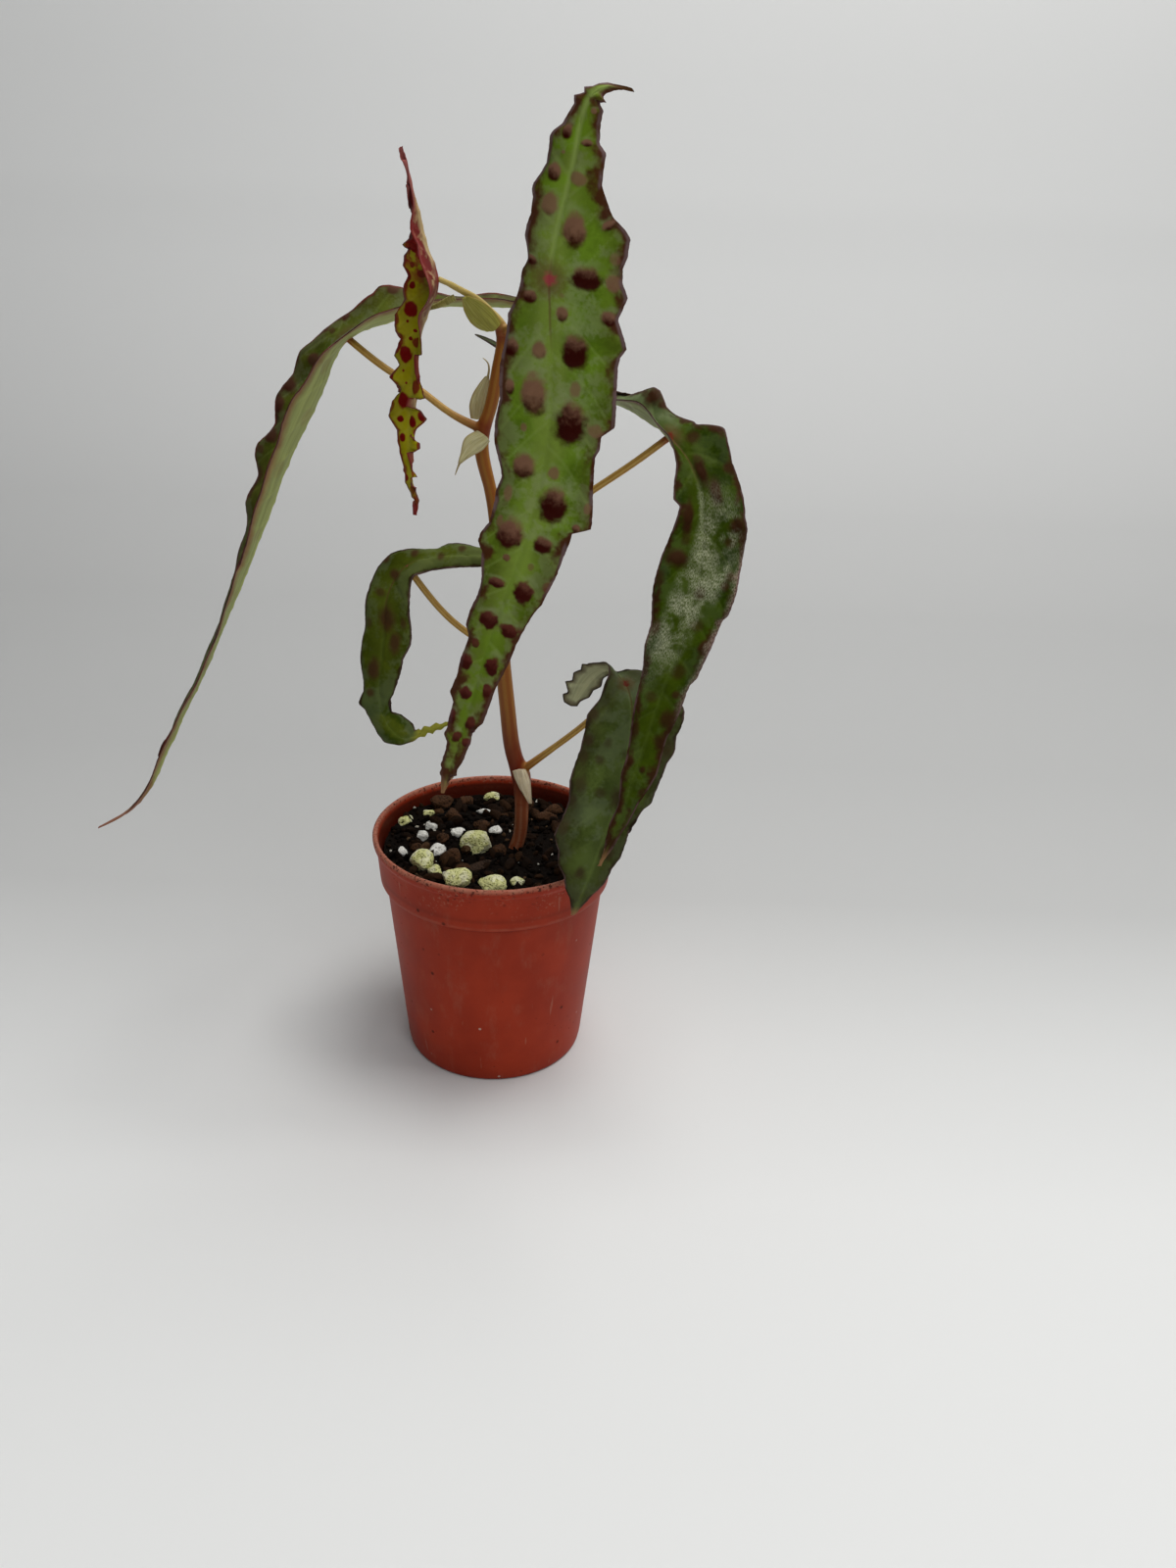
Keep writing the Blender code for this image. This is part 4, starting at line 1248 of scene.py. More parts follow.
@dataclass(frozen=True)
class PottingMix:
    """Peat and bark fines that fill the pot, with loose crumbs on top."""

    pot: NurseryPot
    surface: MixSurface
    crumbs: tuple[Crumbs, ...] = (
        Crumbs(620, 0.35, 0.8, 0.0, 0.62),
        Crumbs(230, 0.6, 1.3, 0.1, 0.74, 1.4),
        Crumbs(60, 1.0, 1.9, 0.55, 0.86, 1.5),
        Crumbs(46, 0.3, 0.6, 0.97, 1.0),
        Crumbs(34, 0.3, 0.55, 0.86, 0.94),
    )
    rings: int = 44
    segments: int = 128
    clear: float = 0.45  # from the pot's wall
    seed: int = 5

    def fill(self) -> bpy.types.Object:
        """The body of the mix, with a crumbly upper face.

        Returns:
            The body.
        """
        bottom = self.pot.floor + 0.2
        walls = [
            (self.pot.wall_inside(height) - self.clear, height)
            for height in (bottom, 20.0, 46.8, 49.2, 52.5, self.surface.level)
        ]
        edge = walls[-1][0]
        tops = [(edge * (1.0 - i / self.rings), self.surface.level) for i in range(1, self.rings)]
        made = turn_profile("potting_mix_body", [(8.0, bottom), *walls, *tops], self.segments)
        points = read_points(made)
        upper = points[:, 2] > self.surface.level - 0.01
        x, y = points[upper, 0], points[upper, 1]
        height = self.surface.height(x, y)
        height = height + 0.45 * cloud(points[upper], 1.7, 3.0) + 0.22 * cloud(points[upper], 0.8, 9.0)
        at_wall = np.hypot(x, y) > edge - 0.3
        height[at_wall] = np.minimum(height[at_wall], self.surface.edge)
        points[upper, 2] = height
        write_points(made, points)
        smooth(MIX_ANGLE)
        point_values(made, "tone", np.where(upper, 0.22 + 0.25 * cloud(points, 2.2, 5.0), 0.15))
        return made

    def scatter(self) -> bpy.types.Object:
        """All the loose crumbs in one mesh: one rough ball, copied with its own turn, size and tone.

        Returns:
            The crumbs.
        """
        pattern = lump("crumb", 2)
        ball = read_points(pattern)
        corners = np.array([tuple(face.vertices) for face in pattern.data.polygons])
        draw = random.Random(self.seed)
        reach = self.pot.wall_inside(self.surface.level) - 1.2
        shapes, faces, tones = [], [], []
        for kind in self.crumbs:
            for _ in range(kind.count):
                angle = draw.uniform(0.0, math.tau)
                away = reach * math.sqrt(draw.random())
                size = draw.uniform(kind.small, kind.large)
                x, y = away * math.cos(angle), away * math.sin(angle)
                turn = np.array(Matrix.Rotation(draw.uniform(0.0, math.tau), 3, Vector(
                    (draw.uniform(-1.0, 1.0), draw.uniform(-1.0, 1.0), draw.uniform(-1.0, 1.0))).normalized()))
                half = size * np.array((kind.length * draw.uniform(0.8, 1.3), draw.uniform(0.7, 1.1), 0.7))
                shape = ball * (1.0 + 0.35 * cloud(ball, 0.9, draw.uniform(0.0, 99.0))[:, None])
                shape = (shape * half) @ turn.T
                z = float(self.surface.height(x, y)) + 0.3 * size
                shapes.append(shape + (x, y, z))
                faces.append(corners + len(ball) * len(faces))
                tones.append(np.full(len(ball), draw.uniform(kind.low_tone, kind.high_tone)))
        made = rename(pattern, "potting_mix_crumbs")
        mesh = bpy.data.meshes.new("potting_mix_crumbs")
        mesh.from_pydata((np.concatenate(shapes) * MM).tolist(), [], np.concatenate(faces).tolist())
        made.data = mesh
        point_values(made, "tone", np.concatenate(tones))
        return made

    def build(self) -> bpy.types.Object:
        """Join the body and its crumbs, and dress them.

        Returns:
            The mix.
        """
        made = rename(join([self.fill(), self.scatter()]), "potting_mix_fines")
        dress(made, [MixFinish().build()])
        hand_over(made, "potting_mix", ["potting_mix"])
        return made


@dataclass(frozen=True)
class Stone:
    """A lump that lies in the mix."""

    name: str
    kind: Grain
    place: tuple[float, float]
    half: Point
    turn: float
    seed: int
    sunk: float = 0.25
    planes: int = 13
    crisp: float = 14.0  # how sharp the edges between the broken faces are
    packed: bool = True  # stands for the node of its name

    def _facets(self, ball: np.ndarray) -> np.ndarray:
        """Reach of a broken lump in each direction: random planes cut a ball, and its edges are worn.

        Args:
            ball: The directions.

        Returns:
            The reaches.
        """
        draw = random.Random(self.seed)
        cuts = unit(np.array([[draw.gauss(0.0, 1.0) for _ in range(3)] for _ in range(self.planes)]))
        depths = np.array([draw.uniform(0.72, 1.0) for _ in range(self.planes)])
        reach = depths / np.maximum(ball @ cuts.T, 0.05)
        blunt = np.sum(reach ** -self.crisp, axis=1) ** (-1.0 / self.crisp)
        return np.minimum(1.14 * blunt, 1.2)

    def build(self, surface: MixSurface, material: bpy.types.Material) -> bpy.types.Object:
        """Roughen a ball to the stone's shape and lay it in the mix.

        Args:
            surface: The mix it lies in.
            material: Its finish.

        Returns:
            The stone.
        """
        made = lump(self.name + "_stone", 5 if self.packed else 4)
        ball = read_points(made)
        shift = 7.3 * self.seed
        swell = self._facets(ball)
        swell = swell * (1.0 + 0.10 * cloud(ball, 0.8, shift) + 0.05 * cloud(ball, 0.3, shift))
        if self.kind in (Grain.PUMICE, Grain.CLAY):
            swell -= 0.07 * np.clip(cloud(ball, 0.16, shift), 0.0, 1.0)
        shape = ball * swell[:, None] * np.array(self.half)
        angle = math.radians(self.turn)
        turned = shape @ np.array(Matrix.Rotation(angle, 3, "Z")).T
        z = float(surface.height(*self.place)) + self.half[2] * (1.0 - 2.0 * self.sunk)
        write_points(made, turned + (*self.place, z))
        smooth(STONE_ANGLE)
        dress(made, [material])
        hand_over(made, self.kind.name.lower(), [self.name] if self.packed else [])
        return made


@dataclass(frozen=True)
class LeafBlade:
    """A leaf blade, laid out from the tip of its short lobe to the tip of its long one."""

    name: str
    finish: LeafFinish
    stations: Stations
    shield: int
    wave: float
    wave_length: float
    seed: int
    spots: Spots
    left_edge: Readings
    right_edge: Readings
    left_wave: float = 1.0  # share of the wave on the left margin
    right_wave: float = 1.0
    calm: float = 2.0  # share of the length beyond which the waves die down
    tooth: float = 1.0  # gain of the margin's teeth
    blister: float = 0.6  # height of a large dark spot
    relief: float = 0.22
    vein_step: float = 8.5
    thickness: float = 0.5
    row_step: float = 0.42
    columns: int = 53
    rib_depth: float = 0.30
    vein_depth: float = 0.13
    edge_depth: float = 0.35
    curl: float = 1.4  # above 1 the sheet is round, not creased, along its midrib

    def under_shield(self, stalk_end: Point, drop: float) -> tuple[np.ndarray, np.ndarray]:
        """Where a stalk ends below the blade.

        Args:
            stalk_end: A point of the stalk, on the side of the underside.
            drop: Distance below the blade's middle surface.

        Returns:
            That place, and the direction from there down the stalk.
        """
        (midrib, left, right), _ = loft_guides(self.stations, 401)
        shield = np.array(self.stations[self.shield][:3])
        row = int(np.argmin(np.linalg.norm(midrib - shield, axis=1)))
        below = unit(np.cross(midrib[row + 1] - midrib[row - 1], right[row] - left[row]))
        if np.dot(np.array(stalk_end) - midrib[row], below) < 0.0:
            below = -below
        return midrib[row] + drop * below, below

    def _margin(self, share: np.ndarray, readings: Readings) -> np.ndarray:
        """Teeth of one margin: how far it stands out of its smooth line.

        Args:
            share: Places along the blade.
            readings: The margin's teeth.

        Returns:
            The offset at each place, in millimetres.
        """
        places = [0.0, *(place / 1000.0 for place in readings[::2]), 1.0]
        offsets = [0.0, *(offset / 10.0 for offset in readings[1::2]), 0.0]
        return np.interp(share, places, offsets)

    def _spread(self, share: np.ndarray, length: float) -> tuple[np.ndarray, np.ndarray]:
        """Grid of the blade with its teeth and waves, and the sense of its upper face.

        Args:
            share: Place of each row along the blade.
            length: Of the midrib.

        Returns:
            The grid of points, and the sense at each row.
        """
        (midrib, left, right), _ = loft_guides(self.stations, len(share))
        across = np.linspace(-1.0, 1.0, self.columns)[None, :, None]
        reach = across * (right - left)[:, None] / 2.0
        reach = reach + np.abs(across) ** self.curl * (left + right)[:, None] / 2.0
        grid = midrib[:, None] + reach
        for side, reaches, readings in ((-1.0, left, self.left_edge), (1.0, right, self.right_edge)):
            offset = self.tooth * self._margin(share, readings)
            walked = np.stack([share * length, share * 0, share * 0], 1)
            offset = offset + 0.12 * cloud(walked, 0.9, self.seed + side)
            push = np.clip(across * side, 0.0, 1.0) ** 5
            grid = grid + push * (offset[:, None] * unit(reaches))[:, None]
        normal = unit(np.cross(np.gradient(midrib, axis=0), right - left))
        draw = random.Random(self.seed)
        phases = (draw.uniform(0.0, math.tau), draw.uniform(0.0, math.tau))
        swell = np.sin(math.pi * share) ** 0.5
        swell = swell * np.interp(share, (self.calm - 0.1, self.calm + 0.1), (1.0, 0.35))
        turn = math.tau * share * length / self.wave_length
        for side, phase, gain in zip((-1.0, 1.0), phases, (self.left_wave, self.right_wave)):
            ripple = gain * self.wave * swell * np.sin(turn + phase)
            half = np.clip(across * side, 0.0, 1.0) ** 2
            grid = grid + half * (ripple[:, None] * normal)[:, None]
        return grid, normal

    def _stains(self, grid: np.ndarray, share: np.ndarray, length: float) -> tuple[np.ndarray, ...]:
        """Reach of the nearest spot, its depth of colour, its blister's lift and the side of it a point is on.

        Args:
            grid: Points of the blade.
            share: Place of each row.
            length: Of the midrib.

        Returns:
            The four values at each point.
        """
        nearest = np.full(grid.shape[:2], FAR)
        depth = np.zeros(grid.shape[:2])
        lift = np.zeros(grid.shape[:2])
        lie = np.zeros(grid.shape[:2])
        ragged = 1.0 + 0.16 * cloud(grid, 2.3, self.seed) + 0.08 * cloud(grid, 0.9, self.seed)
        rows, columns = grid.shape[:2]
        for spot in self.spots:
            place, across, half_along, half_across, dark = (count / unit for count, unit in zip(spot, SPOT_UNITS))
            row = int(np.clip(round(place * (rows - 1)), 1, rows - 2))
            column = int(np.clip(round((across + 1.0) / 2.0 * (columns - 1)), 1, columns - 2))
            along = unit(grid[row + 1, column] - grid[row - 1, column])
            aside = grid[row, column + 1] - grid[row, column - 1]
            aside = unit(aside - (aside @ along) * along)
            away = grid - grid[row, column]
            reach = np.hypot(away @ along / half_along, away @ aside / half_across) * ragged
            reach[np.abs(share - place) * length > 2.5 * half_along] = FAR
            closer = reach < nearest
            nearest = np.where(closer, reach, nearest)
            depth = np.where(closer, dark, depth)
            lie = np.where(closer, away @ along / half_along, lie)
            height = self.blister * dark * min(1.0, half_along * half_across / 7.0)
            lift += height * np.clip(1.15 - reach ** 2, 0.0, 1.0) ** 1.3
        return nearest, depth, lift, np.clip(lie, -1.5, 1.5)

    def build(self, stalk_end: Point) -> bpy.types.Object:
        """Shape the blade and dress both of its faces.

        Args:
            stalk_end: A point of its stalk, which tells the underside from the upper face.

        Returns:
            The leaf.
        """
        _, length = loft_guides(self.stations, 9)
        share = np.linspace(0.0, 1.0, int(length / self.row_step))
        grid, up_row = self._spread(share, length)
        _, below = self.under_shield(stalk_end, 0.0)
        shield = np.array(self.stations[self.shield][:3])
        shield_row = int(np.argmin(np.linalg.norm(grid[:, self.columns // 2] - shield, axis=1)))
        up = -1.0 if np.dot(up_row[shield_row], below) > 0.0 else 1.0
        normal = up * unit(np.cross(np.gradient(grid, axis=0), np.gradient(grid, axis=1)))
        steps = np.linalg.norm(np.diff(grid, axis=1), axis=2)
        crossed = np.concatenate([np.zeros((len(share), 1)), np.cumsum(steps, axis=1)], axis=1)
        middle = self.columns // 2
        rib = np.abs(crossed - crossed[:, middle:middle + 1])
        ends = (np.minimum(share, 1.0 - share) * length)[:, None]
        edge = np.minimum(np.minimum(crossed, crossed[:, -1:] - crossed), ends)
        from_shield = np.abs(share - share[shield_row])[:, None] * length
        beat = (from_shield - 0.8 * rib - 0.03 * rib ** 2) / self.vein_step
        beat = beat + np.where(np.arange(self.columns) < middle, 0.0, 0.45)
        vein = np.abs(beat - np.round(beat)) * self.vein_step * 0.75
        spot, stain, lift, lie = self._stains(grid, share, length)
        inner = np.clip(edge / 2.0, 0.0, 1.0)
        lift = lift * np.clip(edge / 0.8, 0.2, 1.0)
        lift += self.relief * cloud(grid, 5.5, self.seed + 0.5) * inner
        lift += 0.4 * self.relief * cloud(grid, 2.2, self.seed + 1.5) * inner
        lift -= self.rib_depth * np.exp(-(rib / 0.6) ** 2) * np.clip(ends / 6.0, 0.0, 1.0)
        lift -= self.vein_depth * np.exp(-(vein / 0.5) ** 2) * inner
        lift -= self.edge_depth * np.exp(-(edge / 0.7) ** 2)
        shaped = grid + lift[..., None] * normal
        made = grid_piece(self.name + "_blade", shaped, up > 0.0)
        along = np.broadcast_to(share[:, None], edge.shape)
        values = {
            "spot": spot, "stain": stain, "edge": edge, "rib": rib, "vein": vein, "lie": lie, "share": along,
            "shield": np.linalg.norm(grid - shield, axis=2),
            "short": np.clip((share[shield_row] - along) * length / 6.0 + 0.3, 0.0, 1.0),
            "across": np.broadcast_to(np.linspace(-1.0, 1.0, self.columns), edge.shape),
        }
        for name, numbers in values.items():
            point_values(made, name, np.ascontiguousarray(numbers))
        dress(made, [self.finish.top(), self.finish.below()])
        thicken(made, self.thickness, 1, np.clip(edge / 1.6, 0.0, 1.0))
        hand_over(made, self.name, [self.name])
        return made


@dataclass(frozen=True)
class Cane:
    """The cane with its nodes, and the leaf stalks that grow from it."""

    line: Route
    stalks: dict[str, tuple[Point, ...]]
    stalk_radius: float = 0.8
    young_radius: float = 0.6
    root: float = 1.3  # a stalk's root is this much thicker than the stalk
    voxel: float = 0.26
    grooves: int = 6  # round the cane or a stalk
    knots: tuple[Point, ...] = (
        (6.1, 0.0, 76.0), (1.4, 0.0, 106.5), (0.4, 0.0, 129.5), (-3.0, 0.0, 157.0), (1.2, 0.0, 177.0),
    )

    def stalk_route(self, leaf: LeafBlade) -> list[tuple[Point, float]]:
        """Centres and radii of a stalk that ends square under its blade.

        Args:
            leaf: The blade that the stalk holds.

        Returns:
            The route from the root to the blade.
        """
        points = self.stalks[leaf.name]
        end, _ = leaf.under_shield(points[-1], 0.3)
        if leaf.name == "leaf_young":
            return [(point, self.young_radius) for point in (*points, tuple(end))]
        root, *bends = points
        route = [(root, self.root * self.stalk_radius)]
        route += [(point, self.stalk_radius) for point in (*bends, tuple(end))]
        return route

    def _nearest(self, points: np.ndarray, route: Route) -> tuple[np.ndarray, np.ndarray, np.ndarray]:
        """Distance of each point to a route, how far along it is, and the groove that it lies in.

        Args:
            points: The points.
            route: Centres with radii.

        Returns:
            The three values of each point.
        """
        centres = np.array([centre for centre, _ in route], dtype=float)
        keys = chord_keys(centres)
        at = np.linspace(0.0, keys[-1], 120)
        line = natural_curve(keys, centres, at)
        best = np.full(len(points), ENDLESS)
        along = np.zeros(len(points))
        groove = np.zeros(len(points))
        for place, travelled, ahead in zip(line, at, unit(np.gradient(line, axis=0))):
            away = np.linalg.norm(points - place, axis=1)
            closer = away < best
            side = unit(np.cross(ahead, (0.0, 1.0, 0.0)))
            offset = points - place
            round_it = np.arctan2(offset @ side, offset @ np.cross(ahead, side))
            best = np.where(closer, away, best)
            along = np.where(closer, travelled / keys[-1], along)
            groove = np.where(closer, 0.5 + 0.5 * np.cos(self.grooves * round_it), groove)
        return best, along, groove

    def build(self, leaves: Sequence[LeafBlade]) -> bpy.types.Object:
        """Join the bars, melt them into one skin and dress it.

        Args:
            leaves: The blades that the stalks hold.

        Returns:
            The cane.
        """
        routes = [self.stalk_route(leaf) for leaf in leaves]
        bars = [tube("cane_bar", self.line, 32, 0.5)]
        bars += [tube("stalk_bar", route, 20, 0.5) for route in routes]
        made = rename(join(bars), "cane")
        modify(made, "REMESH", mode="VOXEL", voxel_size=self.voxel * MM)
        modify(made, "SMOOTH", factor=0.6, iterations=5)
        bake(made)
        points = read_points(made)
        cane_away, _, groove = self._nearest(points, self.line)
        stalk_away = np.full(len(points), ENDLESS)
        along = np.zeros(len(points))
        for route in routes:
            away, travelled, round_it = self._nearest(points, route)
            closer = away < stalk_away
            stalk_away = np.where(closer, away, stalk_away)
            along = np.where(closer, travelled, along)
            groove = np.where(closer & (away < cane_away), round_it, groove)
        stalk = np.clip((cane_away - stalk_away) / 1.6 + 0.1, 0.0, 1.0)
        to_knots = [np.linalg.norm((points - place) * (0.35, 0.35, 1.0), axis=1) for place in self.knots]
        knot = np.min(to_knots, axis=0)
        for name, numbers in {"stalk": stalk, "along": along, "knot": knot, "groove": groove}.items():
            point_values(made, name, numbers)
        bpy.ops.object.shade_smooth()
        dress(made, [CaneFinish().build()])
        hand_over(made, "stem", ["stem"])
        return made


@dataclass(frozen=True)
class Stipule:
    """A papery stipule, held just clear of the cane, with a hair-like tip."""

    name: str
    finish: PaperFinish
    stations: Stations
    tail: tuple[Point, ...]
    thickness: float = 0.35
    rows: int = 46
    columns: int = 21

    def build(self) -> bpy.types.Object:
        """Shape the sheet, its ribs and its tail, and dress them.

        Returns:
            The stipule.
        """
        (midrib, left, right), _ = loft_guides(self.stations, self.rows)
        across = np.linspace(-1.0, 1.0, self.columns)
        v = across[None, :, None]
        grid = midrib[:, None] + v * (right - left)[:, None] / 2.0
        grid = grid + np.abs(v) ** 1.4 * (left + right)[:, None] / 2.0
        normal = unit(np.cross(np.gradient(grid, axis=0), np.gradient(grid, axis=1)))
        ribs = 0.05 * np.cos(across * 5.0 * math.pi) - 0.16 * np.exp(-(across / 0.12) ** 2)
        lift = ribs[None, :] + 0.14 * cloud(grid, 1.6, 4.0)
        shaped = grid + lift[..., None] * normal
        made = grid_piece(self.name + "_sheet", shaped, False)
        width = np.linalg.norm(right - left, axis=1)[:, None]
        point_values(made, "rib", np.abs(across)[None, :] * width / 2.0)
        point_values(made, "edge", (1.0 - np.abs(across))[None, :] * width / 2.0)
        thicken(made, self.thickness, 0, np.clip((1.0 - np.abs(across))[None, :] * width / 1.2, 0.0, 1.0))
        if self.tail:
            radii = np.linspace(0.28, 0.09, len(self.tail))
            tail = tube("tail", list(zip(self.tail, radii)), 8, 0.35)
            made = join([made, tail])
        rename(made, self.name + "_sheet")
        dress(made, [self.finish.build()])
        hand_over(made, "stipule", [self.name])
        return made


@dataclass(frozen=True)
class Bud:
    """The narrow unopened bud by the shoot tip."""

    line: Route
    finish: PaperFinish

    def build(self) -> bpy.types.Object:
        """Shape the bud and dress it.

        Returns:
            The bud.
        """
        made = tube("bud_bar", self.line, 24, 0.3)
        modify(made, "SUBSURF", levels=1, render_levels=1)
        bake(made)
        points = read_points(made)
        point_values(made, "rib", 2.0 + cloud(points, 2.0))
        point_values(made, "edge", 2.0 + cloud(points, 1.0))
        bpy.ops.object.shade_smooth()
        dress(made, [self.finish.build()])
        hand_over(made, "bud", ["bud"])
        return made


@dataclass(frozen=True)
class Studio:
    """Camera, paper sweep and soft lights."""

    eye: Point = (22.4, -286.6, 216.3)
    pitch: float = 26.53
    roll: float = 2.15
    lens: float = 30.375
    sweep_half_width: float = 1500.0
    sweep_front: float = -900.0
    sweep_back: float = 330.0
    sweep_bend: float = 170.0
    sweep_top: float = 1100.0

    def camera(self) -> None:
        """Stand the camera where the photograph was taken from."""
        tilt, lean = math.radians(self.pitch), math.radians(self.roll)
        right = np.array((1.0, 0.0, 0.0))
        ahead = np.array((0.0, math.cos(tilt), -math.sin(tilt)))
        up = np.cross(right, ahead)
        axes = (
            math.cos(lean) * right + math.sin(lean) * up,
            -math.sin(lean) * right + math.cos(lean) * up,
            -ahead,
        )
        lens = bpy.data.cameras.new("camera")
        lens.lens = self.lens
        lens.clip_start = 0.01
        made = bpy.data.objects.new("camera", lens)
        turn = Matrix([[axes[column][row] for column in range(3)] for row in range(3)])
        made.matrix_world = Matrix.Translation(Vector(self.eye) * MM) @ turn.to_4x4()
        bpy.context.scene.collection.objects.link(made)
        bpy.context.scene.camera = made

    def sweep(self) -> None:
        """Paper that lies flat under the pot and curves up behind it."""
        deselect()
        bpy.ops.mesh.primitive_plane_add(size=1.0)
        made = rename(bpy.context.object, "paper_sweep")
        depth = self.sweep_back - self.sweep_front
        middle = (self.sweep_back + self.sweep_front) / 2.0
        corners = read_points(made) * (2.0 * self.sweep_half_width * MM, depth * MM, 0.0) + (0.0, middle, 0.0)
        write_points(made, corners)
        bpy.ops.object.mode_set(mode="EDIT")
        bpy.ops.mesh.select_all(action="DESELECT")
        bpy.ops.object.mode_set(mode="OBJECT")
        for edge in made.data.edges:
            edge.select = all(corners[v][1] > self.sweep_back - 1.0 for v in edge.vertices)
        bpy.ops.object.mode_set(mode="EDIT")
        bpy.ops.mesh.select_mode(type="EDGE")
        arc = np.radians(np.linspace(0.0, 90.0, 17))
        steps = np.stack([np.sin(arc), 1.0 - np.cos(arc)], 1) * self.sweep_bend
        moves = [*np.diff(steps, axis=0), (0.0, self.sweep_top - self.sweep_bend)]
        for back, rise in moves:
            bpy.ops.mesh.extrude_region_move(TRANSFORM_OT_translate={"value": (0.0, back * MM, rise * MM)})
        bpy.ops.mesh.select_all(action="SELECT")
        bpy.ops.mesh.normals_make_consistent(inside=False)
        bpy.ops.object.mode_set(mode="OBJECT")
        bpy.ops.object.shade_smooth()
        dress(made, [SweepFinish().build()])

    def lamp(self, name: str, place: Point, aim: Point, size: float, watts: float, colour: Colour) -> None:
        """A square soft box.

        Args:
            name: Name of the lamp.
            place: Where it hangs.
            aim: What it looks at.
            size: Length of its side.
            watts: Its power.
            colour: Its colour.
        """
        light = bpy.data.lights.new(name, "AREA")
        light.energy = watts
        light.size = size * MM
        light.color = colour
        made = bpy.data.objects.new(name, light)
        made.location = Vector(place) * MM
        made.rotation_euler = (Vector(aim) - Vector(place)).to_track_quat("-Z", "Y").to_euler()
        bpy.context.scene.collection.objects.link(made)

    def lights(self) -> None:
        """An overhead key from the right, a weaker lamp in front and an even sky."""
        self.lamp("key", (240.0, 10.0, 900.0), (0.0, 0.0, 60.0), 460.0, 5.6, (1.0, 0.99, 0.97))
        self.lamp("front", (200.0, -560.0, 800.0), (0.0, 0.0, 110.0), 420.0, 1.7, (0.98, 0.99, 1.0))
        world = bpy.data.worlds.new("sky")
        world.use_nodes = True
        sky = world.node_tree.nodes["Background"]
        sky.inputs["Color"].default_value = (0.95, 0.98, 1.0, 1.0)
        sky.inputs["Strength"].default_value = 0.14
        bpy.context.scene.world = world

    def build(self) -> None:
        """Set the whole stage."""
        self.camera()
        self.sweep()
        self.lights()
        bpy.context.scene.view_settings.view_transform = "Standard"


CANE_LINE = (
    ((4.8, 0, 28.5), 2), ((3.6, 0, 42), 2), ((4, 0, 51.5), 1.8), ((5.9, 0, 58), 1.65), ((6.4, 0, 67), 1.7),
    ((6.1, 0, 75), 2.4), ((4.8, 0, 79), 2), ((3, 0, 90), 1.9), ((1.4, 0, 106.5), 1.8), ((.4, 0, 129.5), 1.6),
    ((-1.5, 0, 145), 1.4), ((-3, 0, 156.5), 1.7), ((-1.8, 0, 160), 1.4), ((.6, 0, 171), 1.4), ((1.2, 0, 177), 1.5),
    ((-1.2, -2, 181), 1), ((-4, -5, 184), .8), ((-6.2, -8, 185.6), .7), ((-8.4, -10, 187), .65),
)

# Each stalk leaves the cane at a node and follows its own bend to the shield of its blade.
STALKS = {
    "leaf_front": ((1.2, 0, 177), (5, -5.5, 179.5), (8, -14, 183.5), (10.5, -26, 189)),
    "leaf_left_long": ((-3, 0, 157), (-9.9, 0, 160.2), (-16.4, 1, 164.5), (-22.3, 2, 167.7)),
    "leaf_right_arch": ((.4, 0, 129.5), (10.8, -2, 137.6), (21.1, -4, 145.8), (28.8, -7, 152.1)),
    "leaf_left_curl": ((1.4, 0, 106.5), (-6.7, -3, 112.3), (-11.4, -6, 117.8)),
    "leaf_low_right": ((6.1, 0, 76), (14.2, -3, 84.2), (21.4, -7, 92.4)),
    "leaf_young": ((-6.2, -8, 185.6), (-8.4, -10, 187)),
}

FRONT_FINISH = LeafFinish(
    "leaf_front", deep=(.095, .172, .008), light=(.172, .3, .02), centre=(.25, .335, .06), spot=(.034, .002, .001),
    hem=(.065, .009, .007), painted_sheen=(.3, .345, .16), veins=.24, under=(.36, .36, .15), under_hem=(.22, .07, .05),
    rib_short=.75, rib_long=.06, hem_width=1.9, halo=(.13, .055, .03), shield_size=1.4, flank_brown_and_shade_show=.4,
    painted_sheen_show=.42, line=1, redden=.66, soft=.24, end_green_and_shade_show=.75, highlight_above_spot_show=.55, roll=(.175, .115, .115),
    roll_highlight_show=.8, roll_highlight_reach=.9,
)
LEFT_FINISH = LeafFinish(
    "leaf_left_long", deep=(.042, .06, .004), light=(.094, .122, .012), centre=(.09, .112, .018),
    spot=(.055, .012, .007), rim=(.065, .025, .015), hem=(.045, .01, .008), under=(.38, .425, .135),
    under_hem=(.23, .07, .036), glow=3.3, roll=(.15, .035, .028), roll_highlight_show=.85, roll_highlight_reach=.6, rib_short=.2,
    rib_long=.15, hem_width=1.3, soft=.35, painted_sheen=(.19, .21, .13), flank_brown_and_shade_show=.45, tip=(.3, .13, .08), tip_start=.95,
)
ARCH_FINISH = LeafFinish(
    "leaf_right_arch", deep=(.014, .028, .001), light=(.037, .066, .001), centre=(.046, .07, .003),
    spot=(.026, .008, .003), rim=(.036, .013, .005), hem=(.036, .01, .005), under=(.3, .34, .16),
    under_hem=(.16, .05, .045), rib_short=.1, rib_long=.05, soft=.45, bloom_and_sheen_share=.2, bloom_and_sheen_side=.36,
    bloom_and_sheen=(.46, .47, .32), shield_size=1.2, shield=(.16, .015, .012), veins=.05, painted_sheen_show=.1,
    painted_sheen=(.17, .21, .105), lobe_painted_sheen=.7,
)
# The curled leaf's ends take a darker green, which is painted shade.
CURL_FINISH = LeafFinish(
    "leaf_left_curl", deep=(.038, .05, .002), light=(.078, .102, .006), centre=(.07, .09, .008),
    spot=(.05, .018, .006), rim=(.055, .028, .01), hem=(.025, .012, .004), under=(.17, .22, .08),
    under_hem=(.06, .04, .02), rib_short=.1, rib_long=.05, hem_width=.7, soft=.5, shield_size=.2, veins=0,
    painted_sheen_show=.25, painted_sheen=(.15, .18, .1), cover=1.6, tip=(.3, .29, .035), tip_start=.905, end_green_and_shade=(.018, .036, .002),
    end_green_and_shade_show=.75,
)
